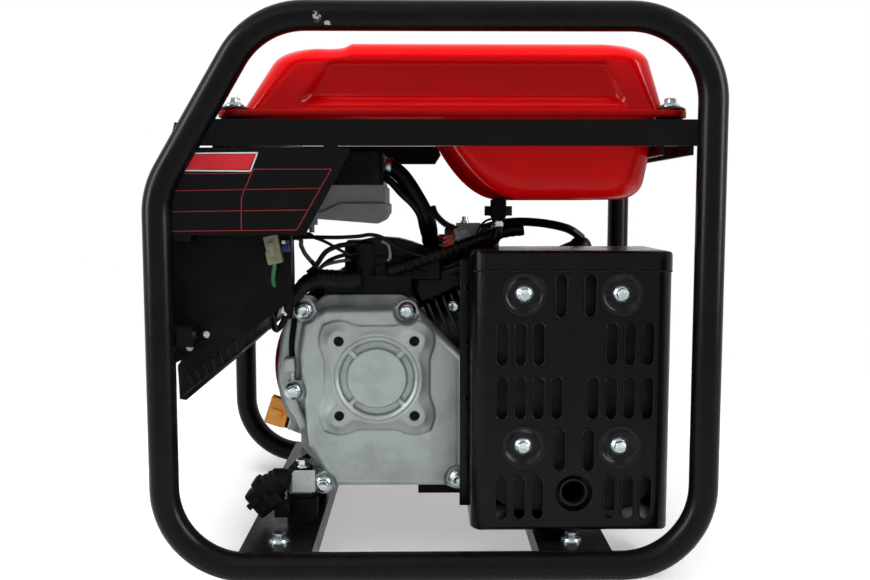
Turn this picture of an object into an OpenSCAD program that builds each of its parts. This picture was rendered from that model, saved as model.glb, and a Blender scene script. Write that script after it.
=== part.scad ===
// Open-frame portable generator: tube frame, fuel tank, engine, muffler, alternator and control box.
// +X is the muffler end, -X the control panel end, -Y the crankcase cover side, +Y the recoil side.
// Z = 0 is the floor beneath the feet.

/* [Frame] */
// Outside diameter of the frame tube
tube_d = 25; // [22:0.5:28]
// Width of a hoop between tube centres
hoop_w = 466; // [460:1:480]
// Height of a hoop between tube centres
hoop_h = 469; // [466:1:490]
// Distance between the centre planes of the two hoops
hoop_gap = 384; // [380:1:410]
// Bend radius of the hoops at the tube centre
bend_r = 70; // [60:1:78]
// Sideways run of the slanted corner
slant_run = 85.6; // [80:0.2:92]
// Drop of the slanted corner
slant_drop = 144.8; // [140:0.2:150]
// Free height beneath the lower tubes
foot_clear = 14; // [10:1:20]
// Height of the side rails
rail_h = 22; // [18:1:26]
// Thickness of the side rails
rail_t = 4; // [3:0.5:6]
// Height from the lower tube's centre to the top of the rails
rail_rise = 384.5; // [380:0.5:390]
// Length of the far rail's left piece, from the left tube's centre line
far_rail_len = 245; // [230:1:260]
// Sheet thickness of the cross bars and base beams
bar_t = 3; // [2.5:0.25:4]
// Width of a cross bar
bar_w = 28; // [24:1:30]
// Depth of a cross bar
bar_depth = 29.5; // [26:0.5:34]
// Width of a base beam
beam_w = 64; // [56:1:70]
// Depth of a base beam
beam_depth = 20; // [16:1:24]
// Distance from a foot bolt to its hoop's centre plane
foot_inset = 27; // [26:0.5:30]
// Diameter of a rubber foot at the floor
foot_d = 27; // [22:1:28]
// Sheet thickness of the label plate
plate_t = 1.5; // [1:0.25:2.5]
// Height of the label plate
plate_h = 73; // [66:1:80]

/* [Fuel tank] */
// Length of the tank's flange
flange_l = 404; // [400:1:405]
// Width left between the tank's flange and the hoop centre planes
flange_inset = 14; // [13.5:0.5:18]
// Thickness of one flange sheet
flange_t = 1.5; // [1:0.25:2]
// Wall thickness of the tank
tank_wall = 2; // [1.5:0.25:3]
// Height of the upper half above the seam
tank_rise = 61; // [56:1:64]
// Depth of the deep end below the seam
tank_drop = 74.5; // [66:0.5:78]
// Depth of the shallow end below the seam
tank_shallow = 19; // [15:1:22]
// Edge radius of the upper half
tank_edge = 24; // [18:1:26]
// Depth of the pressed panel in each long side
panel_press = 4; // [3:0.5:5]
// Height of the rubber grommets beneath the flange
grommet_h = 6.5; // [5:0.5:8]
// Diameter of the fuel cap
cap_d = 62; // [56:1:70]
// Height of the fuel cap
cap_h = 18; // [14:1:20]
// Outside diameter of the filler neck
neck_d = 44; // [40:1:48]

/* [Engine] */
// Crankshaft centre, sideways from the frame's centre
crank_x = -53; // [-56:1:-50]
// Crankshaft centre above the base beams
crank_rise = 140; // [138:1:146]
// Face of the cover's bolting pad, from the frame's centre
pad_y = -125; // [-128:1:-122]
// Hole spacing of the cover's bolting pad
pad_pitch = 70.2; // [66:0.2:74]
// Hole diameter of the bolting pad
pad_hole = 8; // [7:0.5:9]
// Height of the bolting pad
pad_t = 7; // [5:0.5:8]
// Thickness of the cover's dome
dome_t = 8; // [6:0.5:10]
// Thickness of the cover's flange
cover_t = 12; // [10:0.5:14]
// Depth of the crankcase
case_depth = 110; // [106:1:116]
// Tilt of the cylinder above level, degrees
cyl_tilt = 23; // [21:0.5:24]
// Width of the cylinder fins across the axis
fin_w = 92; // [88:1:94]
// Thickness of one cooling fin
fin_t = 2.4; // [2:0.1:3]
// Spacing of the cooling fins
fin_pitch = 8; // [7:0.5:10]
// Diameter of the crankshaft
shaft_d = 25; // [22:0.5:28]
// Running clearance between shafts and their bores, on the radius
run_gap = 0.05; // [0.03:0.01:0.08]
// Diameter of the oil filler bore
filler_d = 20; // [18:0.5:22]
// Diameter of the dipstick rod
dip_d = 8; // [6:0.5:9]
// Flange diameter of the zinc bolts
bolt_flange = 16.5; // [15:0.5:18]
// Spanner size of the zinc bolts
bolt_hex = 10; // [10:0.5:12]
// Shank diameter of the zinc bolts
bolt_d = 8; // [6:0.5:8]
// Diameter of the engine's rubber mounts
mount_d = 30; // [26:1:34]

/* [Muffler guard] */
// Width of the guard
guard_w = 178; // [174:0.5:181]
// Room between the top of the guard and the tank's fuel outlet
guard_room = 20.5; // [18:0.5:24]
// Depth of the guard
guard_depth = 92; // [88:1:92]
// Left side of the guard, from the frame's centre
guard_x = 32.5; // [30:0.5:34]
// Lower edge of the guard above the base beams
guard_rise = 11.5; // [9:0.5:14]
// Radius of the guard's upright front edges
guard_r = 18; // [14:1:20]
// Radius of the guard's top front edge
guard_top_r = 9; // [6:0.5:11]
// Sheet thickness of the guard
guard_t = 1.5; // [1:0.25:2]
// Width of a ventilation slot
slot_w = 10; // [8:0.5:11]
// Height of a ventilation slot
slot_h = 38; // [34:0.5:40]
// Sideways spacing of the slots
slot_pitch = 16; // [15:0.25:16.5]
// Sideways spacing of the guard bolts
guard_bolt_w = 86; // [84:0.5:88]
// Upright spacing of the guard bolts
guard_bolt_h = 136; // [134:0.5:138]
// Diameter of a bolt dimple
dimple_d = 34; // [31:0.5:36]
// Depth of a bolt dimple
dimple_depth = 4; // [3:0.5:5]
// Outside diameter of the tail pipe
tail_d = 25; // [22:0.5:27]
// Wall thickness of the tail pipe
tail_wall = 2; // [1.5:0.25:2.5]
// Diameter of the guard's hole round the tail pipe
tail_hole = 33; // [31:0.5:35]

/* [Alternator and recoil starter] */
// Outside radius of the blower housing
blower_r = 116; // [114:0.5:118]
// Depth of the blower housing
blower_depth = 100; // [96:1:104]
// Sheet thickness of the blower housing
blower_t = 1.8; // [1.5:0.1:2.5]
// Outside radius of the stator
stator_r = 75; // [72:0.5:77]
// Length of the stator core
stator_l = 34; // [30:1:38]
// Number of stator teeth
stator_teeth = 18; // [12:3:24]
// Air gap between the stator and the rotor
air_gap = 1.5; // [1:0.25:2]
// Radial thickness of the rotor rim
rotor_wall = 15; // [12:0.5:16]
// Radius of the cooling fan
fan_r = 97; // [92:1:100]
// Number of fan blades
fan_blades = 14; // [10:1:18]
// Radius of the recoil cover
recoil_r = 76; // [72:1:80]
// Depth of the recoil cover
recoil_depth = 34; // [32:1:38]
// Radius of the recoil pulley
pulley_r = 46; // [42:1:48]
// Width of the recoil pulley
pulley_w = 15; // [13:0.5:17]
// Diameter of the starter rope
rope_d = 5; // [4:0.5:5.5]
// Length of the starter handle
handle_l = 96; // [84:1:104]
// Diameter of the starter handle
handle_d = 23; // [20:0.5:25]

/* [Control box] */
// Room at each end of the control box, out to the hoop's centre line
box_end = 27; // [25:0.5:32]
// Wall thickness of the control box
box_wall = 3; // [2.5:0.25:4]
// Lower edge of the control box below the top of the rails
box_drop = 210; // [204:1:214]
// Rear edge of the control box's near end plate, from the left tube's centre line
box_depth = 108; // [102:1:112]
// Depth of the control box's body behind its face
box_body = 57; // [54:0.5:58]
// Width of the folded edge round the near end plate
cheek_w = 15; // [12:0.5:18]
// Thickness of the panel face
panel_t = 3; // [2.5:0.25:4]
// Size of an outlet's square flange
outlet_size = 66; // [60:1:70]
// Diameter of an outlet
outlet_d = 44; // [40:1:46]
// Spacing of the two outlets
outlet_pitch = 84; // [80:1:90]
// Diameter of the engine switch knob
knob_d = 46; // [40:1:50]
// Spacing of the heat sink fins
sink_pitch = 11; // [9:0.5:14]
// Thickness of a heat sink fin
sink_t = 3; // [2.5:0.25:4]

/* [Air cleaner] */
// Width of the air cleaner
cleaner_w = 74; // [70:0.5:77]
// Length of the air cleaner, across the frame
cleaner_l = 120; // [112:1:126]
// Height of the air cleaner's case
cleaner_h = 30; // [26:0.5:32]
// Depth of the air cleaner's cover below its case
cleaner_drop = 36; // [33:0.5:38]
// Wall thickness of the air cleaner
cleaner_wall = 3; // [2:0.25:4]

/* [Hoses and leads] */
// Diameter of the intake hose
intake_d = 16; // [14:0.5:17]
// Diameter of the fuel hose
fuel_d = 8; // [7:0.5:9]
// Diameter of the ignition lead
lead_d = 9; // [7:0.5:10]

/* [Hidden] */
$fn = 48;

// Levels
low_z = foot_clear + tube_d / 2;
top_z = low_z + hoop_h;
left_x = -hoop_w / 2;
near_y = -hoop_gap / 2;
beam_top = low_z + tube_d / 2;
rail_top = low_z + rail_rise;
slant_k = slant_run / slant_drop;
rail_low = rail_top - rail_h;

// Tank levels and places
flange_low = rail_top + grommet_h;
seam_z = flange_low + flange_t;
tank_top = seam_z + tank_rise;
flange_x0 = left_x + 47;
flange_mid = flange_x0 + flange_l / 2;
flange_w = hoop_gap - 2 * flange_inset;
tank_half = flange_w / 2 - 8;
lower_half = tank_half - 4;
ear_in = 14;
ear_x = [flange_x0 + ear_in, flange_x0 + flange_l - ear_in];
ear_y = flange_w / 2 - ear_in;
cap_x = 30;
cap_y = 30;
neck_rise = 5;
cap_gap = 0.5;
outlet_x = 61;
outlet_y = -96;
outlet_l = 24;

// Engine stations along Y, from the cover's pad to the recoil cover
crank_z = beam_top + crank_rise;
dome_y = pad_y + pad_t;
flange_y = dome_y + dome_t;
case_y = flange_y + cover_t;
case_end = case_y + case_depth;
base_z = beam_top + 27.5;
case_left = crank_x - 74;
case_right = crank_x + 84;
case_top = crank_z + 76;
case_low = base_z + 6;
lobe_r = 96;
lobe_l = 42;
shroud_t = 2;
tongue_at = 118;
scroll_dip = 14.5;
skirt_y = fin_w / 2 + shroud_t + 0.5;
stator_y = case_end + 8;
rotor_y = stator_y - 4;
rotor_l = stator_l + 8;
disc_t = 8;
disc_y = rotor_y + rotor_l;
fan_y = disc_y + disc_t;
fan_l = 26;
blower_y = case_end - 8;
blower_end = blower_y + blower_depth;
recoil_end = blower_end + recoil_depth;
rotor_r = stator_r + air_gap + rotor_wall;
cyl_y = case_y + 67;
fin_first = 64;
fin_count = 11;
head_t0 = fin_first + fin_count * fin_pitch;
head_t1 = head_t0 + 38;
rocker_t1 = head_t1 + 30;
head_half = 40;
rocker_half = 30;

// Guard and muffler
guard_y = pad_y - 47;
guard_low = beam_top + guard_rise;
guard_mid = guard_x + guard_w / 2;
guard_h = seam_z - tank_drop - outlet_l - guard_room - guard_low;
guard_top = guard_low + guard_h;
guard_bolt_z = guard_low + 144;
bolt_mid = guard_mid - 0.25;
slot_mid = guard_mid + 1.75;
slot_rows = [[210.5, [0.8]], [168, [2, 3, 4]], [120, [1, 2, 3, 4]], [73, [0.8]], [30, [2, 3, 4]]];
tail_x = guard_mid + 2.25;
tail_z = guard_low + 34;
muffler_gap = 12;
muffler_back = guard_y + guard_depth - 6;

// Intake
carb_x = 36;
carb_y = cyl_y + 6;
carb_z = 299;
cleaner_x0 = left_x + 112;
cleaner_x1 = cleaner_x0 + cleaner_w;
cleaner_y = -50;
cleaner_z = rail_top - bar_depth + 6.5 - cleaner_h;
cover_low = cleaner_z - cleaner_drop;

// Control box
box_low = rail_top - box_drop;
box_top = rail_top - bar_depth - 0.5;
box_w = hoop_gap - 2 * box_end;
box_x0 = left_x + 5;
box_x1 = left_x + box_depth;
box_rear = box_x0 + box_body;
panel_x = box_x0;
outlet_z = box_low + 76;
knob_y = 112;
cover_gap = 0.4;

// ---------- outlines and tubes ----------

function heading(a, b) = atan2(b[1] - a[1], b[0] - a[0]);
function wrap(a) = a > 180 ? a - 360 : a <= -180 ? a + 360 : a;
function side_of(h) = [-sin(h), cos(h)];
function unit(v) = v / norm(v);

// Arc that replaces corner b of a path a-b-c
function corner_arc(a, b, c, r, n) =
  let (h = heading(a, b), turn = wrap(heading(b, c) - h), s = sign(turn), t = r * tan(abs(turn) / 2),
       mid = [b[0], b[1]] - t * [cos(h), sin(h)] + s * r * side_of(h))
  r == 0 ? [[b[0], b[1]]] : [for (k = [0:n]) mid - s * r * side_of(h + turn * k / n)];

// Closed outline from points [x, y, corner radius]
function rounded(p, n = 5) = [for (i = [0:len(p) - 1])
  each corner_arc(p[(i + len(p) - 1) % len(p)], p[i], p[(i + 1) % len(p)], p[i][2], n)];

// Carries a flat outline, drawn in X and Z, along Y
module along_y(y0, len) translate([0, y0 + len, 0]) rotate([90, 0, 0]) linear_extrude(len) children();

// Carries a flat outline, drawn in Y and Z, along X
module along_x(x0, len) translate([x0, 0, 0]) rotate([90, 0, 90]) linear_extrude(len) children();

// Round bar along Y
module bar_y(x, y0, z, d, len) translate([x, y0, z]) rotate([-90, 0, 0]) cylinder(d = d, h = len);

// Rectangle with round corners, about its centre
module rrect(w, h, r) {
  square([w - 2 * r, h], center = true);
  square([w, h - 2 * r], center = true);
  for (x = [-1, 1], y = [-1, 1]) translate([x * (w / 2 - r), y * (h / 2 - r)]) circle(r);
}

// Upright slot with round ends
module slot(w, h) {
  square([w, h - w], center = true);
  for (s = [-1, 1]) translate([0, s * (h - w) / 2]) circle(d = w);
}

joint_gap = 0.01;
core_l = 1;

// Round tube from the origin along +X: each step is a straight run, then a left-hand bend.
// A run ends a hair short of its bend, and a short core ties the two into one solid.
module tube_chain(steps, r, d, i = 0) {
  run = steps[i][0];
  bend = steps[i][1];
  rotate([0, 90, 0]) {
    cylinder(d = d, h = run - joint_gap);
    for (x = [0, run]) translate([0, 0, x - core_l / 2]) cylinder(d = d - 0.2, h = core_l);
  }
  if (bend > 0) translate([run, r, 0]) {
    rotate([0, 0, -90]) rotate_extrude(angle = bend) translate([r, 0]) circle(d = d);
    if (i < len(steps) - 1) rotate([0, 0, bend]) translate([joint_gap, -r, 0])
      tube_chain(steps, r, d, i + 1);
  }
}

// Smooth curve through route points, with k steps between neighbours
function spline(p, k) = [for (i = [0:len(p) - 2], j = [0:k - 1])
  let (a = p[max(i - 1, 0)], b = p[i], c = p[i + 1], d = p[min(i + 2, len(p) - 1)], t = j / k)
  0.5 * (2 * b + (c - a) * t + (2 * a - 5 * b + 4 * c - d) * t * t + (3 * b - a - 3 * c + d) * t * t * t),
  p[len(p) - 1]];

// Tube swept along a route, kept from twisting, its ends square to the route's first and last steps
module hose(route, d, k = 3, sides = 8) {
  path = spline(route, k);
  n = len(path);
  m = len(route);
  along = [unit(route[1] - route[0]), for (i = [1:n - 2]) unit(path[i + 1] - path[i - 1]),
    unit(route[m - 1] - route[m - 2])];
  start = abs(along[0][2]) < 0.9 ? [0, 0, 1] : [1, 0, 0];
  across = [for (i = 0, u = unit(start - (start * along[0]) * along[0]); i < n;
    i = i + 1, u = i < n ? unit(u - (u * along[i]) * along[i]) : u) u];
  ring = [for (i = [0:n - 1], s = [0:sides - 1]) let (v = cross(along[i], across[i]))
    path[i] + d / 2 * (across[i] * cos(360 * s / sides) + v * sin(360 * s / sides))];
  skin = [for (i = [0:n - 2], s = [0:sides - 1]) let (q = (s + 1) % sides)
    [i * sides + s, (i + 1) * sides + s, (i + 1) * sides + q, i * sides + q]];
  polyhedron(ring, concat(skin, [[for (s = [0:sides - 1]) s]],
    [[for (s = [sides - 1:-1:0]) (n - 1) * sides + s]]), convexity = 6);
}

// Flange bolt: head at the origin facing +Z, shank going down
module flange_bolt(shank) {
  cylinder(d1 = bolt_flange, d2 = bolt_flange - 1.5, h = 1.8);
  cylinder(d = bolt_hex / cos(30), h = 7, $fn = 6);
  translate([0, 0, -shank]) cylinder(d = bolt_d, h = shank);
}

// ---------- frame ----------

// Runs and bends of a hoop, from the butt seam in its lower run round to it again
lean = atan(slant_run / slant_drop);
cut_top = bend_r * tan((90 - lean) / 2);
cut_side = bend_r * tan(lean / 2);
seam_x = 70;
hoop_steps = [[-left_x - bend_r - seam_x, 90], [hoop_h - 2 * bend_r, 90],
  [hoop_w - slant_run - bend_r - cut_top, 90 - lean],
  [norm([slant_run, slant_drop]) - cut_top - cut_side, lean],
  [hoop_h - slant_drop - cut_side - bend_r, 90], [seam_x - left_x - bend_r, 0]];

module hoop(y) translate([seam_x, y, low_z]) rotate([90, 0, 0]) tube_chain(hoop_steps, bend_r, tube_d);

module near_hoop() color("#1c1c1e") hoop(near_y);
module far_hoop() color("#1c1c1e") hoop(-near_y);

// Centre line of the slanted tube at height z
function slant_x(z) = left_x + max(0, z - (top_z - slant_drop)) * slant_k;

// Flat bars at rail height, coped to the tubes
module side_rails() color("#1f1f21") {
  difference() {
    along_y(near_y - rail_t / 2, rail_t) polygon([[slant_x(rail_low), rail_low], [-left_x, rail_low],
      [-left_x, rail_top], [slant_x(rail_top), rail_top]]);
    hoop(near_y);
  }
  end_x = left_x + far_rail_len;
  difference() {
    along_y(-near_y - rail_t / 2, rail_t) polygon([[slant_x(rail_low), rail_low], [end_x - 7, rail_low],
      [end_x, rail_low + rail_h / 2], [end_x - 4, rail_top], [slant_x(rail_top), rail_top]]);
    hoop(-near_y);
  }
  difference() {
    along_y(-near_y - rail_t / 2, rail_t) translate([ear_x[1] - bar_w / 2, rail_low])
      square([-left_x - ear_x[1] + bar_w / 2, rail_h]);
    hoop(-near_y);
  }
}

// Pressed channels that carry the tank
module cross_bars() color("#1f1f21") for (x = ear_x) difference() {
  along_y(near_y + rail_t / 2, hoop_gap - rail_t) difference() {
    translate([x - bar_w / 2, rail_top - bar_depth]) square([bar_w, bar_depth]);
    translate([x - bar_w / 2 + bar_t, rail_top - bar_depth - 1])
      square([bar_w - 2 * bar_t, bar_depth - bar_t + 1]);
  }
  hoop(near_y);
  hoop(-near_y);
  for (y = [-ear_y, ear_y]) translate([x, y, rail_top - bar_t - 1]) cylinder(d = bolt_d + 0.6, h = bar_t + 2);
}

beam_x = [left_x + 94, -left_x - 110];
foot_y = hoop_gap / 2 - foot_inset;
mount_at = [[beam_x[0] + 13, case_y - 2], [beam_x[0] + 13, case_y + 78],
  [beam_x[1], case_y + 40], [beam_x[1], case_y + 82]];
left_mounts = [mount_at[0], mount_at[1]];
right_mounts = [mount_at[2], mount_at[3]];

// Channels between the lower tubes, flush with their tops
module base_beams() color("#1f1f21") for (i = [0, 1]) difference() {
  along_y(near_y, hoop_gap) difference() {
    translate([beam_x[i] - beam_w / 2, beam_top - beam_depth]) square([beam_w, beam_depth]);
    translate([beam_x[i] - beam_w / 2 + bar_t, beam_top - beam_depth - 1])
      square([beam_w - 2 * bar_t, beam_depth - bar_t + 1]);
  }
  hoop(near_y);
  hoop(-near_y);
  for (y = [-foot_y, foot_y]) translate([beam_x[i], y, 0]) cylinder(d = bolt_d, h = beam_top + 1);
  for (m = mount_at) translate([m[0], m[1], 0]) cylinder(d = bolt_d, h = beam_top + 1);
}

// Tapered rubber feet beneath the beams
module rubber_feet() color("#141414") for (x = beam_x, y = [-foot_y, foot_y]) translate([x, y, 0])
  difference() {
    cylinder(d1 = foot_d, d2 = foot_d - 5, h = beam_top - bar_t);
    translate([0, 0, 12]) cylinder(d = bolt_d, h = beam_top);
  }

// Zinc bolts of the feet and of the engine mounts
module base_bolts() color("#c9ccd0") {
  for (x = beam_x, y = [-foot_y, foot_y]) translate([x, y, beam_top]) {
    cylinder(d = bolt_flange + 3, h = 1.5);
    translate([0, 0, 1.5]) flange_bolt(24);
  }
  for (m = mount_at) translate([m[0], m[1], foot_top + washer_t])
    flange_bolt(foot_top + washer_t - beam_top + bar_t + 6);
}

foot_h = 20.5;
foot_top = base_z + foot_h;
washer_t = 3;

// Rubber cushions between the beams and the engine's feet, with a washer disc on top of each foot
module engine_mounts() color("#161616") for (m = mount_at) translate([m[0], m[1], 0]) {
  difference() {
    union() {
      translate([0, 0, beam_top]) cylinder(d = mount_d, h = base_z - beam_top - 5);
      translate([0, 0, base_z - 5]) cylinder(d = mount_d - 6, h = 2);
      translate([0, 0, base_z - 3]) cylinder(d = mount_d, h = 3);
    }
    translate([0, 0, beam_top - 1]) cylinder(d = bolt_d, h = base_z);
  }
  translate([0, 0, foot_top]) difference() {
    cylinder(d = bolt_flange + 3.5, h = washer_t);
    translate([0, 0, -1]) cylinder(d = bolt_d, h = washer_t + 2);
  }
}

bracket_t = 5;
bracket_rib = 12;
bracket_x0 = case_right - 46;
bracket_y0 = right_mounts[0][1] - 14;
bracket_w = right_mounts[1][1] + 14 - bracket_y0;
bracket_holes = [case_right + 22, case_right + 54];

// Steel bracket that carries the engine's right side on the right beam's mounts
module engine_bracket() color("#202022") difference() {
  union() {
    translate([bracket_x0, bracket_y0, base_z]) cube([beam_x[1] + 16 - bracket_x0, bracket_w, bracket_t]);
    for (m = right_mounts) translate([m[0], m[1], base_z + bracket_t])
      cylinder(d = 22, h = foot_h - bracket_t);
    for (y = [bracket_y0, bracket_y0 + bracket_w - bracket_t])
      translate([bracket_x0, y, base_z - bracket_rib])
      cube([beam_x[1] - mount_d / 2 - 4 - bracket_x0, bracket_t, bracket_rib]);
  }
  for (m = right_mounts) translate([m[0], m[1], base_z - 1]) cylinder(d = bolt_d, h = 30);
  for (x = bracket_holes) translate([x, bracket_y0 + bracket_w / 2, base_z - 1])
    cylinder(d = 22, h = bracket_t + 2);
}

// Tabs between the hoops and the control box, and the air cleaner's strip
module frame_brackets() color("#1f1f21") {
  for (s = [-1, 1], z = [box_low + 18, box_low + 108]) difference() {
    translate([left_x + 3, s > 0 ? box_w / 2 : near_y + plate_t, z]) cube([24, box_end - plate_t, 16]);
    hoop(s * hoop_gap / 2);
  }
  translate([ear_x[0] + bar_w / 2, cleaner_y - 30, rail_top - bar_depth])
    cube([cleaner_x0 - ear_x[0] - bar_w / 2, 60, bar_t]);
}

plate_top = rail_low - 1.5;
plate_low = plate_top - plate_h;

// Inner side of the left and slanted tubes at height z
function tube_side(z) = slant_x(z) + tube_d / 2 / (z > top_z - slant_drop ? cos(lean) : 1);

// Sheet in the near hoop's upper left corner, held by two tabs on the rail
module label_plate() color("#1a1a1c") {
  along_y(near_y - plate_t / 2, plate_t) polygon(rounded([[left_x + tube_d / 2, plate_low, 0],
    [left_x + 124, plate_low, 3], [left_x + 164, plate_top, 3], [tube_side(plate_top), plate_top, 0],
    [left_x + tube_d / 2, top_z - slant_drop - tube_d / 2 * tan(lean / 2), bend_r - tube_d / 2]], 8));
  for (x = [left_x + 62, left_x + 140]) translate([x, near_y - plate_t / 2, plate_top - 2])
    cube([12, plate_t, rail_low - plate_top + 2]);
}

// ---------- fuel tank ----------

deep_x0 = flange_mid - 34;
tank_x0 = flange_x0 + 24;
tank_x1 = flange_x0 + flange_l - 24;

// Rounded block from a foot outline at z0 to an upper face at z1, drawn at grow = 0
module tank_block(x0, x1, lean0, lean1, half, z0, z1, r, grow) hull() {
  up = z1 > z0 ? 1 : -1;
  for (x = [x0 + 40, x1 - 40], y = [40 - half, half - 40])
    translate([x, y, min(z0, z0 + up)]) cylinder(r = 40 - grow, h = 1, $fn = 40);
  for (x = [x0 + lean0 + r, x1 - lean1 - r], y = [r + 4 - half, half - r - 4])
    translate([x, y, z1 - up * r]) sphere(r - grow, $fn = 32);
}

module upper_solid(grow = 0) {
  tank_block(tank_x0, tank_x1, 24, 8, tank_half, seam_z, tank_top - 5, tank_edge, grow);
  tank_block(tank_x0 + 66, tank_x1, 22, 8, tank_half, seam_z, tank_top, tank_edge, grow);
}

module lower_solid(grow = 0) {
  tank_block(tank_x0 + 4, tank_x1 - 4, 14, 6, lower_half, seam_z, seam_z - tank_shallow, 12, grow);
  tank_block(deep_x0, tank_x1 - 4, 48, 6, lower_half, seam_z, seam_z - tank_drop, tank_edge - 4, grow);
}

module flange_sheet(z) difference() {
  translate([flange_mid, 0, z]) linear_extrude(flange_t) rrect(flange_l, flange_w, ear_in);
  for (x = ear_x, y = [-ear_y, ear_y]) translate([x, y, z - 1]) cylinder(d = bolt_d + 0.6, h = flange_t + 2);
}

// Upper half: flange, body with a stepped top, and a pressed panel in each long side
module tank_upper() color("#c8141c") difference() {
  union() {
    flange_sheet(seam_z);
    upper_solid();
  }
  difference() {
    translate([0, 0, -0.01]) upper_solid(tank_wall);
    for (s = [-1, 1]) pressed_panel(s, tank_wall);
  }
  for (s = [-1, 1]) pressed_panel(s, 0);
  translate([cap_x, cap_y, tank_top - 12]) cylinder(d = neck_d + 0.4, h = 20);
}

// Long shallow recess in the tank's side, seen on side s
module pressed_panel(s, grow) {
  y = s * tank_half;
  hull() for (x = [tank_x0 + 48, tank_x1 - 34], z = [seam_z + 24, seam_z + 38])
    translate([x, y + s * 4, z]) rotate([90, 0, 0])
      cylinder(r1 = 9 + grow, r2 = 9 + grow, h = 2 * (4 + panel_press + grow), center = true, $fn = 24);
}

// Lower half: shallow at the panel end, deep at the muffler end
module tank_lower() color("#b01018") difference() {
  union() {
    flange_sheet(flange_low);
    difference() {
      lower_solid();
      translate([flange_mid, 0, seam_z]) cylinder(r = 400, h = 5, $fn = 12);
    }
  }
  translate([0, 0, 0.01]) lower_solid(tank_wall);
  translate([outlet_x, outlet_y, seam_z - tank_drop - 1]) cylinder(d = 12, h = 10);
}

module tank_grommets() color("#161616") for (x = ear_x, y = [-ear_y, ear_y]) translate([x, y, rail_top])
  difference() {
    cylinder(d = 20, h = grommet_h);
    translate([0, 0, -1]) cylinder(d = bolt_d, h = grommet_h + 2);
  }

// Bolts with domed washers through the flange, grommets and cross bars
module tank_bolts() color("#b9bcc0") for (x = ear_x, y = [-ear_y, ear_y])
  translate([x, y, seam_z + flange_t]) {
    cylinder(d1 = 24, d2 = 18, h = 3);
    translate([0, 0, 3]) flange_bolt(seam_z + flange_t + 3 - rail_top + bar_t);
    translate([0, 0, rail_top - bar_t - 7 - seam_z - flange_t])
      cylinder(d = 13 / cos(30), h = 7, $fn = 6);
  }

module filler_neck() color("#9b9da0") translate([cap_x, cap_y, tank_top - 12]) difference() {
  union() {
    cylinder(d = neck_d, h = 12 + neck_rise);
    translate([0, 0, 12]) cylinder(d = neck_d + 6, h = 2);
  }
  translate([0, 0, -1]) cylinder(d = neck_d - 4, h = 30);
}

// Screw cap with a ribbed rim and a thumb bar, turning on the filler neck
module fuel_cap() color("#17181a") translate([cap_x, cap_y, tank_top + neck_rise + cap_gap]) {
  difference() {
    union() {
      translate([0, 0, -2]) cylinder(d = cap_d, h = cap_h - 6);
      translate([0, 0, cap_h - 8]) cylinder(d1 = cap_d, d2 = cap_d - 10, h = 4);
      intersection() {
        translate([0, 0, cap_h - 5]) cylinder(d = cap_d - 10, h = 5);
        translate([-6, -cap_d / 2, cap_h - 5]) cube([12, cap_d, 5]);
      }
    }
    translate([0, 0, -3]) cylinder(d = neck_d + 8, h = 3);
    for (k = [0:11]) rotate([0, 0, 30 * k]) translate([cap_d / 2 + 1.5, 0, -3]) cylinder(d = 7, h = cap_h);
  }
}

// Float gauge with a domed window in the tank's top
module fuel_gauge() color("#2a2b2d") translate([-44, cap_y + 4, tank_top]) {
  cylinder(d = 44, h = 3);
  translate([0, 0, 3]) cylinder(d1 = 38, d2 = 30, h = 3);
}

// Threaded stub with its nut beneath the deep end of the tank
module fuel_outlet() color("#1b1c1e") translate([outlet_x, outlet_y, seam_z - tank_drop]) {
  translate([0, 0, -6]) cylinder(d = 15, h = 6);
  translate([0, 0, 0]) cylinder(d = 11.4, h = tank_wall);
  translate([0, 0, -15]) cylinder(d = 26, h = 9, $fn = 6);
  translate([0, 0, -outlet_l]) cylinder(d1 = 9, d2 = 15, h = outlet_l - 15);
}

fuel_route = [[outlet_x, outlet_y, seam_z - tank_drop - outlet_l], [outlet_x, outlet_y, guard_top + 12],
  [outlet_x - 6, outlet_y + 12, guard_top + 7], [outlet_x - 15, outlet_y + 29, guard_top + 1],
  [carb_x, carb_y - 28, carb_z - 8], [carb_x, carb_y - 20, carb_z - 8]];

module fuel_hose() color("#111111") hose(fuel_route, fuel_d, 4);

// ---------- engine ----------

// Outline of the crankcase seen along the crankshaft, drawn smaller by inset
module case_outline(inset, drop = 0) polygon(rounded([[case_left + 32 + inset, case_low + inset, 8],
  [case_right - inset, case_low + inset, 8], [case_right - inset, crank_z + 14, 12],
  [crank_x + 26 - inset / 2, case_top - drop - inset, 16], [crank_x - 48, case_top - drop - inset, 16],
  [case_left + inset, crank_z + 56, 14], [case_left + inset, crank_z - 70, 10]]));

// Directions of the cylinder's axis and across it, as X and Z
axis_dir = [cos(cyl_tilt), sin(cyl_tilt)];

// Places children on the cylinder's axis: X across, Y up the frame's -Y, Z along the axis
module on_cylinder(t = 0) translate([crank_x, cyl_y, crank_z]) rotate([0, -cyl_tilt, 0])
  translate([t, 0, 0]) children();

dip_angle = 18.6;
dip_at = [case_left - 2, case_y + 24, crank_z - 49];
dip_len = 60;

// Places children on the oil filler's axis, +Z pointing out of the filler
module on_filler() translate(dip_at) rotate([0, -90 + dip_angle, 0]) children();

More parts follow.
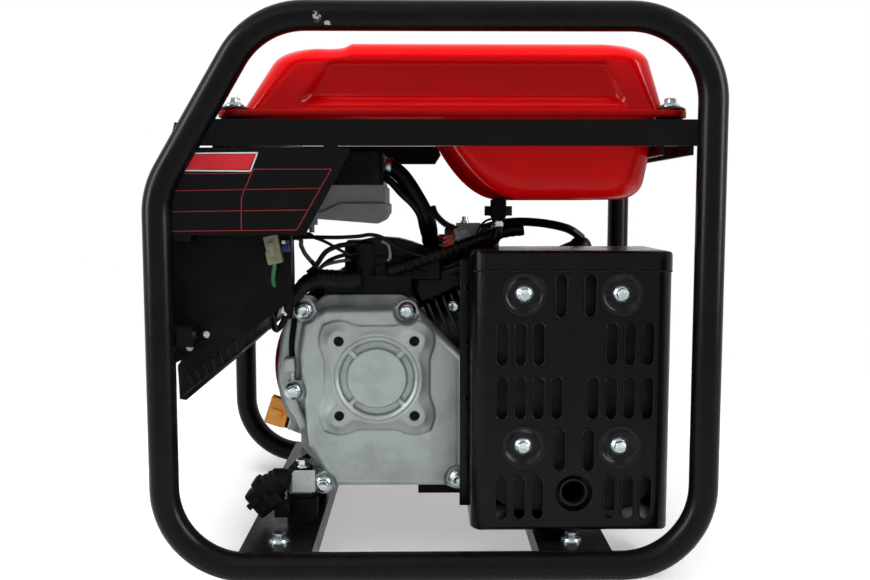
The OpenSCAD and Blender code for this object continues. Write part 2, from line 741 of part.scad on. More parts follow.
// Cast block with its feet, filler neck and rear boss
module crankcase() color("#a7aaac") difference() {
  union() {
    along_y(case_y, case_depth) case_outline(0);
    for (m = left_mounts) translate([m[0] - 11, m[1] - 12, base_z]) difference() {
      cube([36, 24, foot_h]);
      translate([21, -1, -1]) cube([20, max(0, case_y - m[1] + 12) + 1, foot_h + 2]);
    }
    translate([bracket_x0, bracket_y0 + 2, base_z + bracket_t]) cube([40, bracket_w - 4,
      case_low - base_z - bracket_t + 2]);
    on_filler() translate([0, 0, -22]) cylinder(d = filler_d + 8, h = 26);
    bar_y(crank_x, case_end, crank_z, 90, stator_y - case_end);
    on_cylinder() translate([30, -40, -40]) cube([fin_first - 30, 80, 80]);
    for (b = cover_bolt_at) bar_y(b[0], case_y, b[1], boss_of(b), 24);
    case_lobe();
  }
  on_cylinder(fin_first) translate([0, -fin_w / 2 - 5, -fin_w / 2 - 2]) cube([90, fin_w + 6, fin_w + 60]);
  bar_y(crank_x, case_y + 14, crank_z, shaft_d + 4, case_depth + 40);
  bar_y(crank_x, case_end - 15, crank_z, 52, 60);
  for (m = left_mounts) translate([m[0], m[1], base_z - 1]) cylinder(d = bolt_d, h = 30);
  on_filler() translate([0, 0, -dip_len]) cylinder(d = filler_d, h = dip_len + 10);
  for (b = cover_bolt_at) bar_y(b[0], case_y - 1, b[1], bolt_d, 15);
}

// Rounded side of the crankcase beside the cover, relieved round the oil cap
module case_lobe() difference() {
  intersection() {
    bar_y(crank_x, case_y + 2, crank_z, 2 * lobe_r, lobe_l);
    translate([crank_x - lobe_r - 1, case_y, crank_z - 48]) cube([lobe_r - 50, lobe_l + 5, 96]);
  }
  on_filler() cylinder(d = cap_flange + 5, h = 60);
}

cover_bolt_at = [[crank_x - 68, crank_z + 62.5], [crank_x + 28, crank_z + 62],
  [crank_x - 78.7, crank_z - 13.6], [crank_x - 51.4, crank_z - 102.6], [crank_x + 75.5, crank_z - 97.9]];

// Diameter of the boss round a cover bolt, kept within the case's right side
function boss_of(b) = min(21, 2 * (case_right - b[0]));

// Square with a scallop in each side
module scalloped(w) difference() {
  rrect(w, w, 14);
  for (k = [0:3]) rotate(90 * k) translate([w / 2 + 33, 0]) circle(39);
}

// Cast cover: bolting flange, dome, and a scalloped pad with a ribbed ring round the crank's axis
module crankcase_cover() color("#b4b7b9") difference() {
  union() {
    along_y(flange_y, cover_t) case_outline(1, 12);
    along_y(dome_y + 3, dome_t - 3) case_outline(7, 12);
    along_y(dome_y, 3) case_outline(11, 12);
    for (b = cover_bolt_at) bar_y(b[0], flange_y - 2, b[1], boss_of(b), cover_t + 2);
    along_y(pad_y + 3, pad_t - 3) translate([crank_x, crank_z]) scalloped(106);
    along_y(pad_y, 3) translate([crank_x, crank_z]) scalloped(94);
  }
  for (x = [-1, 1], z = [-1, 1]) {
    bar_y(crank_x + x * pad_pitch / 2, pad_y - 1, crank_z + z * pad_pitch / 2, pad_hole, 17);
    translate([crank_x + x * pad_pitch / 2, pad_y - 0.01, crank_z + z * pad_pitch / 2]) rotate([-90, 0, 0])
      cylinder(d1 = pad_hole + 4, d2 = pad_hole, h = 2);
  }
  along_y(pad_y - 1, 3) translate([crank_x, crank_z]) difference() {
    circle(40);
    circle(34.7);
  }
  along_y(pad_y - 1, 6) translate([crank_x, crank_z]) difference() {
    circle(34.7);
    circle(28);
    for (k = [45, 135]) rotate(k) square([80, 4], center = true);
  }
  bar_y(crank_x, pad_y - 1, crank_z, 56, 2.5);
  for (b = cover_bolt_at) bar_y(b[0], flange_y - 20, b[1], bolt_d, 60);
  for (b = cover_bolt_at) bar_y(b[0], flange_y - 22, b[1], 20, 20);
}

module cover_bolts() color("#cfd2d6") for (b = cover_bolt_at) translate([b[0], flange_y - 2, b[1]])
  rotate([90, 0, 0]) flange_bolt(cover_t + 14);

// Finned barrel, its fins square to the tilted axis
module cylinder_barrel() color("#8d9092") on_cylinder() {
  translate([fin_first, 0, 0]) rotate([0, 90, 0]) cylinder(d = 74, h = fin_count * fin_pitch);
  for (k = [0:fin_count - 1]) translate([fin_first + k * fin_pitch + fin_pitch / 2, 0, 0])
    rotate([90, 0, 90]) linear_extrude(fin_t) rrect(fin_w, fin_w, 12);
}

// Head with four fins and its ports' bosses
module cylinder_head() color("#999c9e") on_cylinder(head_t0) {
  rotate([90, 0, 90]) linear_extrude(head_t1 - head_t0) rrect(2 * head_half - 6, 2 * head_half - 8, 8);
  for (k = [0:3]) translate([2 + k * 9, 0, 0]) rotate([90, 0, 90]) linear_extrude(fin_t)
    rrect(fin_w, 2 * head_half, 10);
  translate([14, -46, -4]) rotate([90, 0, 0]) cylinder(d = 34, h = port_len);
  translate([18, 10, head_half - 5]) cylinder(d = 30, h = 10);
}

port_len = -(muffler_back - cyl_y) - 46;

// Pressed cover of the valve gear with its flange and breather boss
module rocker_cover() color("#2a2b2d") on_cylinder(head_t1) {
  rotate([90, 0, 90]) linear_extrude(3) translate([-14, 0]) rrect(62, 2 * rocker_half + 8, 8);
  translate([3, 0, 0]) rotate([90, 0, 90]) linear_extrude(20) translate([-14, 0])
    rrect(54, 2 * rocker_half, 10);
  translate([23, 0, 0]) rotate([90, 0, 90]) linear_extrude(rocker_t1 - head_t1 - 23)
    translate([-14, 0]) rrect(42, 2 * rocker_half - 12, 8);
}

plug_y = 27;
plug_up = 26;

// Spark plug body, hexagon and insulator beside the valve cover, along the cylinder's axis
module spark_plug() color("#d8d6cf") on_cylinder(head_t1) translate([0, plug_y, plug_up]) rotate([0, 90, 0]) {
  cylinder(d = 13, h = 6);
  translate([0, 0, 6]) cylinder(d = 21 / cos(30), h = 8, $fn = 6);
  translate([0, 0, 14]) cylinder(d = 11, h = 20);
}

function on_axis(t, y, up) = [crank_x + t * axis_dir[0] - up * axis_dir[1], cyl_y + y,
  crank_z + t * axis_dir[1] + up * axis_dir[0]];

lead_route = [on_axis(head_t1 + 52, plug_y, plug_up + 1) + [-3, 0, 6], [140, -6, 315], [110, 0, 321],
  [78, 6, 321], [48, 11, 313], [22, 19, 303], [2, 26, 289]];

// Plug cap with its elbow, and the high tension lead to the coil
module ignition_lead() color("#121212") {
  difference() {
    union() {
      on_cylinder(head_t1 + 16) translate([0, plug_y, plug_up]) rotate([0, 90, 0]) cylinder(d = 20, h = 30);
      on_cylinder(head_t1 + 46) translate([0, plug_y, plug_up]) sphere(12);
    }
    on_cylinder(head_t1 + 10) translate([0, plug_y, plug_up]) rotate([0, 90, 0]) cylinder(d = 11, h = 24);
  }
  hose(lead_route, lead_d, 4);
}

// Ignition and throttle unit: canister on its bracket above the crankcase
module ignition_unit() color("#17181a") {
  translate([crank_x - 14, case_y + 22, case_top]) cylinder(d = 37, h = 48);
  translate([crank_x - 14, case_y + 22, case_top + 48]) cylinder(d1 = 37, d2 = 30, h = 3);
  translate([crank_x - 51, case_y + 4, case_top]) cube([83, 30, 18]);
  translate([crank_x + 12, case_y + 6, case_top + 17]) cube([19, 26, 13]);
}

// Radius of the blower's scroll at angle a: it opens out again after its tongue
function scroll_r(a) = blower_r - scroll_dip * pow(cos(90 * min(1, (a - tongue_at) / 85)), 2)
  + 2.5 * max(0, a - 360 - 45) / 50;
module scroll(grow) polygon([for (k = [0:56]) let (a = tongue_at + 6 * k)
  (scroll_r(a) + grow) * [cos(a), sin(a)]]);

module duct_outline(grow) {
  scroll(grow);
  rotate(cyl_tilt) polygon([[0, -54 - grow], [head_t1 - 2 + grow, -54 - grow], [head_t1 + 14 + grow, -30],
    [head_t1 + 14 + grow, 24], [head_t0 + grow, 50 + grow], [0, 50 + grow]]);
}

// Black plate behind the crankcase and the cover over the cylinder's fins
module cooling_shroud() color("#151617") {
  difference() {
    along_y(case_end, shroud_t) translate([crank_x, crank_z]) scroll(-blower_t);
    bar_y(crank_x, case_end - 1, crank_z, 90, shroud_t + 2);
    along_y(case_end - 1, shroud_t + 2) translate([crank_x, crank_z]) rotate(cyl_tilt)
      translate([fin_first - 4, -fin_w / 2 - 3]) square([120, fin_w + 4]);
  }
  on_cylinder() {
    translate([fin_first + 0.5, -skirt_y, fin_w / 2])
      cube([head_t0 - fin_first + 26, case_end - cyl_y + skirt_y + shroud_t / 2, shroud_t]);
    translate([fin_first + 1, -skirt_y + 0.2, fin_w / 2 + 0.5])
      cube([head_t0 - fin_first - 26, shroud_t, 22]);
  }
}

// ---------- oil filler ----------

seal_t = 2.5;
cap_flange = 28;
thread_gap = 0.2;

// Rod and thread of the dipstick
module dipstick_rod() color("#d8842a") on_filler() {
  translate([0, 0, -dip_len + 6]) cylinder(d = dip_d, h = dip_len - 16);
  translate([0, 0, -10]) cylinder(d = filler_d - 2 * thread_gap, h = 14);
}

// Orange cap with a seal ring and a thumb grip
module dipstick_cap() color("#f08c1e") on_filler() {
  translate([0, 0, 4.3]) cylinder(d = cap_flange - 2, h = seal_t);
  translate([0, 0, 4.3 + seal_t]) cylinder(d = cap_flange, h = 5);
  intersection() {
    translate([0, 0, 9.3 + seal_t]) cylinder(d = cap_flange, h = 13);
    translate([-cap_flange / 2, -5, 9.3 + seal_t]) cube([cap_flange, 10, 13]);
  }
}

// ---------- alternator ----------

module crank_bearing() color("#b8bbbd") difference() {
  bar_y(crank_x, case_end - 15, crank_z, 52, 15);
  bar_y(crank_x, case_end - 16, crank_z, shaft_d + 2 * run_gap, 17);
}

nut_t = 9;

// Shaft with the nut that holds the rotor and fan
module crankshaft() color("#9da0a3") {
  bar_y(crank_x, case_y + 20, crank_z, shaft_d, fan_y + fan_l + nut_t + 3 - case_y - 20);
  translate([crank_x, fan_y + 6, crank_z]) rotate([-90, 0, 0]) difference() {
    cylinder(d = 30 / cos(30), h = nut_t, $fn = 6);
    translate([0, 0, -1]) cylinder(d = shaft_d, h = nut_t + 2);
  }
}

// Laminated core with wound teeth
module stator() color("#8a4b24") along_y(stator_y, stator_l) translate([crank_x, crank_z]) difference() {
  union() {
    circle(52);
    for (k = [0:stator_teeth - 1]) rotate(360 * k / stator_teeth) {
      translate([40, -5]) square([stator_r - 44, 10]);
      intersection() {
        circle(stator_r);
        translate([stator_r - 6, -9.5]) square([10, 19]);
      }
    }
  }
  circle(22);
}

// Cup with magnets inside its rim, on the crankshaft
module rotor() color("#6f7376") difference() {
  bar_y(crank_x, rotor_y, crank_z, 2 * rotor_r, rotor_l + disc_t);
  bar_y(crank_x, rotor_y - 1, crank_z, 2 * (stator_r + air_gap), rotor_l + 1);
  bar_y(crank_x, disc_y - 1, crank_z, shaft_d, disc_t + 2);
  for (k = [0:5]) translate([crank_x, disc_y - 1, crank_z]) rotate([0, 60 * k, 0])
    translate([44, 0, 0]) rotate([-90, 0, 0]) cylinder(d = 16, h = disc_t + 2);
}

cup_r = 36;

// Plate with leaning blades, and the cup that the recoil starter catches
module cooling_fan() color("#1c1d1f") translate([crank_x, fan_y, crank_z]) rotate([-90, 0, 0]) {
  difference() {
    cylinder(r = fan_r, h = 3);
    translate([0, 0, -1]) cylinder(d = shaft_d, h = 5);
  }
  for (k = [0:fan_blades - 1]) rotate([0, 0, 360 * k / fan_blades]) translate([52, 0, 0]) rotate([0, 0, 24])
    translate([0, -1.5, 2]) cube([fan_r - 51, 3, fan_l - 2]);
  difference() {
    translate([0, 0, 3]) cylinder(r = cup_r, h = fan_l + 5);
    translate([0, 0, 6]) cylinder(r = cup_r - 3, h = fan_l + 5);
    cylinder(d = shaft_d, h = 30);
  }
}

// Drum round the fan with a duct to the cylinder, open towards the engine
module blower_housing() color("#a8121a") difference() {
  union() {
    along_y(blower_y, blower_depth) translate([crank_x, crank_z]) scroll(0);
    along_y(case_end + shroud_t, 52) translate([crank_x, crank_z]) duct_outline(0);
  }
  along_y(blower_y - 1, case_end - blower_y + 1.5) case_outline(-1);
  on_cylinder(fin_first - 2) translate([0, -fin_w, -fin_w / 2 - 2])
    cube([head_t1 - fin_first + 30, 1.5 * fin_w + 1.5, fin_w + 6]);
  along_y(blower_y - 1, blower_depth - blower_t + 1) translate([crank_x, crank_z]) scroll(-blower_t);
  along_y(case_end + shroud_t - 1, 52 - blower_t + 1) translate([crank_x, crank_z]) duct_outline(-blower_t);
  bar_y(crank_x, blower_end - 10, crank_z, 2 * recoil_r - 12, 20);
}

rope_up = 122;
rope_r = 60;
rope_x = crank_x + rope_r * cos(rope_up);
rope_z = crank_z + rope_r * sin(rope_up);
eyelet_l = 7;
post_d = 14;

// Slotted cover with the pulley's post and the rope's eyelet
module recoil_cover() color("#1a1b1d") difference() {
  union() {
    difference() {
      bar_y(crank_x, blower_end, crank_z, 2 * recoil_r, recoil_depth);
      bar_y(crank_x, blower_end - 1, crank_z, 2 * (recoil_r - 2.5), recoil_depth - 2);
    }
    along_y(blower_end, 3) translate([crank_x, crank_z]) difference() {
      circle(recoil_r + 9);
      circle(recoil_r - 2);
    }
    bar_y(crank_x, recoil_end - 3 - pulley_w - 4, crank_z, post_d, pulley_w + 4);
    bar_y(rope_x, recoil_end - 3, rope_z, 20, eyelet_l + 3);
  }
  for (k = [0:11]) if (k != 4) rotate_about_crank(30 * k) along_y(recoil_end - 5, 8)
    translate([crank_x + recoil_r - 19, crank_z]) slot(7, 24);
  for (k = [0:17]) rotate_about_crank(20 * k) translate([crank_x + recoil_r - 6, blower_end + 9, crank_z - 3])
    cube([12, recoil_depth - 18, 6]);
  bar_y(rope_x, recoil_end - 10, rope_z, rope_d + 2, eyelet_l + 20);
}

module rotate_about_crank(a) translate([crank_x, 0, crank_z]) rotate([0, -a, 0])
  translate([-crank_x, 0, -crank_z])
  children();

pulley_y = recoil_end - 3 - pulley_w - 0.5;

// Grooved pulley on the cover's post
module recoil_pulley() color("#d8d4c8") difference() {
  translate([crank_x, pulley_y, crank_z]) rotate([-90, 0, 0]) rotate_extrude() polygon([
    [post_d / 2 + run_gap, 0], [pulley_r, 0], [pulley_r, 3.5], [pulley_r - 6, 6],
    [pulley_r - 6, pulley_w - 6],
    [pulley_r, pulley_w - 3.5], [pulley_r, pulley_w], [post_d / 2 + run_gap, pulley_w]]);
  for (k = [0:2]) rotate_about_crank(120 * k + 20)
    bar_y(crank_x + 24, pulley_y - 1, crank_z, 14, pulley_w + 2);
}

seat_gap = 0.3;

// Grip with a waist and the stub of rope inside the eyelet
module recoil_handle() color("#17181a") translate([rope_x, recoil_end + eyelet_l + seat_gap, rope_z]) {
  rotate([-90, 0, 0]) cylinder(d1 = 15, d2 = 20, h = 8);
  translate([0, handle_d / 2 + 5, 0]) rotate([0, 90, 0]) {
    cylinder(d = handle_d, h = handle_l - handle_d, center = true);
    for (s = [-1, 1]) translate([0, 0, s * (handle_l - handle_d) / 2]) sphere(d = handle_d);
  }
  translate([0, -eyelet_l - 6, 0]) rotate([-90, 0, 0]) cylinder(d = rope_d, h = eyelet_l + 7);
}

// ---------- muffler and guard ----------

// Two pressed shells with a rolled seam, spacers for the guard, and the tail pipe
module muffler() color("#6a6c6e") {
  difference() {
    union() {
      along_y(guard_y + muffler_gap, muffler_back - guard_y - muffler_gap)
        translate([guard_mid, guard_low + guard_h / 2]) rrect(guard_w - 28, guard_h - 30, 34);
      along_y(guard_y + guard_depth / 2 - 2, 4) translate([guard_mid, guard_low + guard_h / 2])
        rrect(guard_w - 18, guard_h - 20, 38);
      for (x = [-1, 1], z = [-1, 1]) bar_y(bolt_mid + x * guard_bolt_w / 2, guard_y + dimple_depth + guard_t,
        guard_bolt_z + z * guard_bolt_h / 2, 15, muffler_gap);
      bar_y(tail_x, guard_y + 3, tail_z, tail_d, 40);
    }
    along_y(guard_y + muffler_gap + 2, muffler_back - guard_y - muffler_gap - 4)
      translate([guard_mid, guard_low + guard_h / 2]) rrect(guard_w - 32, guard_h - 34, 32);
    bar_y(tail_x, guard_y - 1, tail_z, tail_d - 2 * tail_wall, 50);
    for (x = [-1, 1], z = [-1, 1]) bar_y(bolt_mid + x * guard_bolt_w / 2, guard_y - 1,
      guard_bolt_z + z * guard_bolt_h / 2, bolt_d, muffler_gap + 20);
  }
}

// Block with the guard's rounded front edges, smaller by grow on every side
module guard_block(grow) {
  x0 = guard_x + grow;
  x1 = guard_x + guard_w - grow;
  y0 = guard_y + grow;
  y1 = guard_y + guard_depth + (grow > 0 ? 1 : 0);
  z0 = guard_low + grow;
  z1 = guard_low + guard_h - grow;
  intersection() {
    translate([0, 0, z0]) linear_extrude(z1 - z0) polygon(rounded([[x0, y0, guard_r - grow],
      [x1, y0, guard_r - grow], [x1, y1, 0], [x0, y1, 0]], 8));
    along_x(x0 - 1, x1 - x0 + 2) polygon(rounded([[y0, z0, 4 - grow], [y1 - 12, z0, 0], [y1, z0 + 14, 0],
      [y1, z1, 0], [y0, z1, guard_top_r - grow]], 6));
    along_y(y0 - 1, y1 - y0 + 2) polygon(rounded([[x0, z0, 0], [x1, z0, 0], [x1, z1, guard_top_r - grow],
      [x0, z1, guard_top_r - grow]], 6));
  }
}

// Sheet box with slots, four bolt dimples and a collared hole for the tail pipe
module muffler_guard() color("#151516") difference() {
  union() {
    difference() {
      guard_block(0);
      guard_block(guard_t);
    }
    at_guard_bolts() cylinder(d1 = dimple_d + 2 * guard_t, d2 = dimple_d - 10 + 2 * guard_t,
      h = dimple_depth + guard_t);
    bar_y(tail_x, guard_y, tail_z, tail_hole + 7, 4);
    guard_lip();
  }
  at_guard_bolts() {
    translate([0, 0, -0.01]) cylinder(d1 = dimple_d, d2 = dimple_d - 10, h = dimple_depth);
    cylinder(d = bolt_d + 0.6, h = 20);
  }
  bar_y(tail_x, guard_y - 1, tail_z, tail_hole, 20);
  for (row = slot_rows, k = row[1], s = [-1, 1]) along_y(guard_y - 1, guard_t + 3)
    translate([slot_mid + s * k * slot_pitch, guard_low + row[0]]) slot(slot_w, slot_h);
  for (x = [guard_x - 1, guard_x + guard_w - guard_t - 1], y = [24:slot_pitch:guard_depth - 12],
    z = [60:48:guard_h - 30]) along_x(x, guard_t + 2) translate([guard_y + y, guard_low + z])
      slot(slot_w - 3, slot_h);
}

// Crease below the guard's lid
module guard_lip() difference() {
  intersection() {
    guard_block(-0.8);
    translate([guard_x - 5, guard_y - 5, guard_low + guard_h - 18])
      cube([guard_w + 10, guard_depth + 5, 17]);
  }
  guard_block(guard_t / 2);
}

module at_guard_bolts() for (x = [-1, 1], z = [-1, 1])
  translate([bolt_mid + x * guard_bolt_w / 2, guard_y, guard_bolt_z + z * guard_bolt_h / 2])
    rotate([-90, 0, 0]) children();

module guard_bolts() color("#cfd2d6")
  at_guard_bolts() translate([0, 0, dimple_depth - 0.01]) rotate([180, 0, 0])
  flange_bolt(muffler_gap + 6);

// ---------- intake ----------

// Body, float bowl, stepper housing and the manifold to the head
module carburettor() color("#8f9294") difference() {
  union() {
    translate([carb_x - 24, carb_y, carb_z + 2]) rotate([0, 90, 0]) cylinder(d = 30, h = 48);
    translate([carb_x, carb_y, carb_z - 20]) cylinder(d = 30, h = 20);
    translate([carb_x - 12, carb_y - 14, carb_z]) cube([24, 28, 22]);
    bar_y(carb_x, carb_y - 20, carb_z - 8, 6, 10);
    translate([carb_x + 24, carb_y, carb_z + 2]) rotate([0, 90, 0]) cylinder(d = 38, h = 6);
  }
  translate([carb_x - 25, carb_y, carb_z + 2]) rotate([0, 90, 0]) cylinder(d = 20, h = 60);
  translate([carb_x - 4, carb_y + 10, carb_z - 1]) cylinder(d = 3 + 2 * run_gap, h = 40);
}

// Lever on the choke's upright spindle
module choke_lever() color("#c9ccd0") {
  translate([carb_x - 4, carb_y + 10, carb_z + 8]) cylinder(d = 3, h = 20);
  translate([carb_x - 8, carb_y + 14, carb_z + 22.4]) linear_extrude(2)
    polygon(rounded([[0, 0, 3], [0, -choke_l, 3], [8, -choke_l, 3], [8, 0, 3]]));
  translate([carb_x - 4, carb_y + 18 - choke_l, carb_z + 24]) cylinder(d = 6, h = 5);
}

choke_l = 34;

module intake_hose() color("#121212") hose(intake_route, intake_d, 4, 12);

intake_route = [[cleaner_x1 + 0.5, -68, cleaner_z + 18], [cleaner_x1 + 9, -68, cleaner_z + 18],
  [cleaner_x1 + 20, -69, cleaner_z + 9], [-14, -72, 343], [-3, -64, 318], [-2, -36, carb_z + 3],
  [carb_x - 32, carb_y, carb_z + 2], [carb_x - 24.2, carb_y, carb_z + 2]];

// Upper case of the air cleaner, bolted to the frame's strip
module air_cleaner_case() color("#161718") translate([(cleaner_x0 + cleaner_x1) / 2, cleaner_y, cleaner_z])
  difference() {
    linear_extrude(cleaner_h) rrect(cleaner_w, cleaner_l, 10);
    translate([0, 0, -1]) linear_extrude(cleaner_h - cleaner_wall + 2)
      rrect(cleaner_w - 2 * cleaner_wall, cleaner_l - 2 * cleaner_wall, 8);
  }

// Removable lower cover with a stepped rib, a clip and its peg
module air_cleaner_cover() color("#47484a") difference() {
  union() {
    along_y(cleaner_y - cleaner_l / 2 - 2, cleaner_l + 4) polygon(rounded([[cleaner_x0 - 4, cleaner_z, 3],
      [cleaner_x0 - 4, cover_low + 6, 6], [cleaner_x1 - 2, cover_low, 8], [cleaner_x1 + 2, cover_low + 6, 3],
      [cleaner_x1 + 2, cleaner_z, 3]]));
    along_y(cleaner_y - cleaner_l / 2 - 4, cleaner_l + 8) polygon(rounded([[cleaner_x0 - 2, cover_low + 8, 0],
      [cleaner_x1 - 3, cover_low + 2, 5], [cleaner_x1 + 4, cover_low + 9, 3],
      [cleaner_x1 + 4, cover_low + 19, 2],
      [cleaner_x0 + 34, cover_low + 19, 4], [cleaner_x0 + 18, cover_low + 11, 4],
      [cleaner_x0 - 2, cover_low + 11, 0]]));
    translate([cleaner_x0 + 2, cleaner_y - cleaner_l / 2 + 2, cover_low - 1]) cube([10, 12, 6]);
    translate([cleaner_x0 + 7, cleaner_y - cleaner_l / 2 + 8, cover_low - 8]) cylinder(d = 5, h = 8);
  }
  along_y(cleaner_y - cleaner_l / 2, cleaner_l) translate([cleaner_x0, cover_low + 10])
    square([cleaner_w - 1, cleaner_drop - 9]);
}

// ---------- control box ----------

// Side outline of the box: upright and slanted face, stepped lower edge
function box_outline(grow) = [[box_x0 + grow, box_low + grow], [box_x0 + 20, box_low + 10 + grow],
  [box_x0 + 35, box_low + 21 + grow], [box_x0 + 63, box_low + 26 + grow], [box_x1 - 16, box_low + 44 + grow],
  [box_x1 - grow, box_low + 56 + grow], [box_x1 - grow, box_top - grow],
  [slant_x(box_top) + 12 + grow, box_top - grow], [box_x0 + grow, top_z - slant_drop - 14]];

// Side outline of the box's body, smaller all round by grow
module body_outline(grow) intersection() {
  polygon(box_outline(grow));
  translate([box_x0 - 5, box_low - 5]) square([box_rear - grow - box_x0 + 5, box_top - box_low + 10]);
}

// Hollow body, and at its near end a plate with a folded edge that reaches further back
module control_box() color("#131415") difference() {
  union() {
    along_y(-box_w / 2, box_w) body_outline(0);
    along_y(-box_w / 2, cheek_w) polygon(box_outline(0));
  }
  along_y(-box_w / 2 + box_wall, box_w - 2 * box_wall) body_outline(box_wall);
  along_y(-box_w / 2 + box_wall, cheek_w) intersection() {
    polygon(box_outline(box_wall));
    translate([box_rear, box_low]) square([box_depth, box_top - box_low]);
  }
  along_x(box_x0 - 1, box_wall + 1.5) translate([0, (box_low + 14 + panel_top) / 2])
    square([box_w - 24, panel_top - box_low - 14], center = true);
}

panel_top = box_low + 120;

// Face plate with its cut-outs
module control_panel() color("#1b1c1e") difference() {
  along_x(panel_x - panel_t, panel_t) translate([0, (box_low + 8 + panel_top + 6) / 2])
    rrect(box_w - 12, panel_top - box_low - 2, 8);
  for (y = outlet_ys) along_x(panel_x - panel_t - 1, panel_t + 2) translate([y, outlet_z])
    circle(d = outlet_d);
  along_x(panel_x - panel_t - 1, panel_t + 2) translate([knob_y, outlet_z + 8]) circle(d = 9);
  along_x(panel_x - panel_t - 1, panel_t + 2) translate([button_y, button_z]) circle(d = 11);
  for (k = [0:2]) along_x(panel_x - panel_t - 1, panel_t + 2)
    translate([light_y + 14 * k, outlet_z + 34]) circle(d = 6);
}

outlet_ys = [-outlet_pitch - 22, -22];
button_y = 52;
button_z = outlet_z + 18;
light_y = 36;

face_x = panel_x - panel_t - 2.5;
hinge_x = face_x - 3;
hinge_z = outlet_z + outlet_size / 2 - 5;
knuckle_d = 5;
pin_d = 2;

// Socket bodies behind the panel with their square flanges and hinge knuckles
module outlets() color("#222325") for (y = outlet_ys) difference() {
  union() {
    along_x(panel_x - panel_t, 34) translate([y, outlet_z]) circle(d = outlet_d);
    along_x(face_x, 2.5) translate([y, outlet_z]) rrect(outlet_size, outlet_size, 8);
    bar_y(hinge_x, y - 6, hinge_z, knuckle_d, 12);
    translate([hinge_x, y - 6, hinge_z - 2]) cube([face_x - hinge_x, 12, 4]);
  }
  for (s = [-1, 1]) along_x(face_x - 1, 14) translate([y + s * 6.4, outlet_z + 4]) rrect(2, 8, 0.9);
  along_x(face_x - 1, 14) translate([y, outlet_z - 8]) circle(d = 5);
  bar_y(hinge_x, y - 7, hinge_z, pin_d + 2 * run_gap, 14);
}

// Sprung lid over one outlet, its two knuckles and its hinge pin
module outlet_lid(y) color("#1d1e20") {
  along_x(face_x - cover_gap - 4, 4) translate([y, hinge_z - 3 - (outlet_size - 12) / 2])
    rrect(outlet_size - 10, outlet_size - 12, 6);
  for (s = [-1, 1]) {
    bar_y(hinge_x, y + s * 10.5 - 3.5, hinge_z, knuckle_d, 7);
    translate([hinge_x - 1.4, y + s * 10.5 - 3.5, hinge_z - 4]) cube([3, 7, 4]);
  }
  bar_y(hinge_x, y - 8, hinge_z, pin_d, 16);
}

module outlet_cover_left() outlet_lid(outlet_ys[0]);
module outlet_cover_right() outlet_lid(outlet_ys[1]);

// Turning knob for fuel and ignition, on its spindle through the panel
module engine_switch() color("#c11a1e") translate([panel_x - panel_t - cover_gap, knob_y, outlet_z + 8])
  rotate([0, -90, 0]) {
    cylinder(d = knob_d, h = 4);
    translate([0, 0, 4]) cylinder(d1 = knob_d - 6, d2 = knob_d - 12, h = 4);
    translate([-knob_d / 2 + 3, -5, 4]) cube([knob_d - 6, 10, 9.5]);
    translate([0, 0, -16]) cylinder(d = 9 - 2 * run_gap, h = 16.5);
  }

// Push-to-reset breaker button
module breaker_button() color("#2c2d30") translate([panel_x - panel_t - 5, button_y, button_z])
  rotate([0, 90, 0]) cylinder(d = 11 - 2 * run_gap, h = 22);

module indicator_lights() color("#58c060") for (k = [0:2])
  translate([panel_x - panel_t - 1.5, light_y + 14 * k, outlet_z + 34]) rotate([0, 90, 0])
    cylinder(d = 6, h = 8);

// Finned underside of the inverter beneath the box
module inverter_heatsink() color("#18191a") {
  half = box_w / 2 - 24;
  seat = [[box_rear, box_low + 24.9], [box_x0 + 35, box_low + 21], [box_x0 + 20, box_low + 10],
    [box_x0, box_low]];
  fin = concat([[box_x0 - 4, box_low - 6], [box_x0 - 3, box_low - 37], [box_x0 + 3, box_low - 38],
    [box_x0 + 56, box_low + 9]], seat);
  plate = concat([[box_x0 - 4, box_low - 6], [box_x0 - 4, box_low - 13], [box_x0 + 57, box_low + 14]], seat);
  along_y(-half, 2 * half) polygon(plate);
  for (y = [-half:sink_pitch:half - sink_t]) along_y(y, sink_t) polygon(fin);
}

// ---------- wiring ----------

harness_routes = [
  [[box_rear + 0.2, -100, 307], [box_rear + 12, -100, 307], [box_x1 + 10, -100, 307], [-100, -97, 307],
    [-66, -104, 313], [-34, -92, 305], [-14, -88, 294], [6, -86, 302], [26, -78, 307]],
  [[box_rear + 0.2, -92, 300], [box_rear + 12, -92, 300], [box_x1 + 8, -92, 300], [-106, -97, 293],
    [-90, -102, 303], [-74, -104, 294], [-68, -101, 280], [-70, -97, 262]],
  [[box_rear + 0.2, -104, 284], [box_rear + 12, -104, 284], [box_x1 + 8, -104, 284], [-106, -106, 277],
    [-92, -106, 290], [-80, -108, 300], [-62, -110, 307]]];
harness_ds = [8, 5, 5];

module wiring_harness() color("#101010") for (i = [0:2]) hose(harness_routes[i], harness_ds[i], 3);

plug_tilt = 38;

// Two cream connectors at the box wall and the sealed sensor plug beside the engine's foot
module harness_connectors() {
  color("#d9d6bd") translate([box_x1 - 16, -box_w / 2 - 11, box_low + 92]) rotate([0, 14, 0])
    cube([13, 11, 26]);
  color("#141414") translate([left_mounts[0][0] - 42, case_y - 6, beam_top]) {
    cube([26, 20, 18]);
    translate([6, 10, 16]) rotate([0, -plug_tilt, 0]) cylinder(d = 20, h = 26);
  }
}

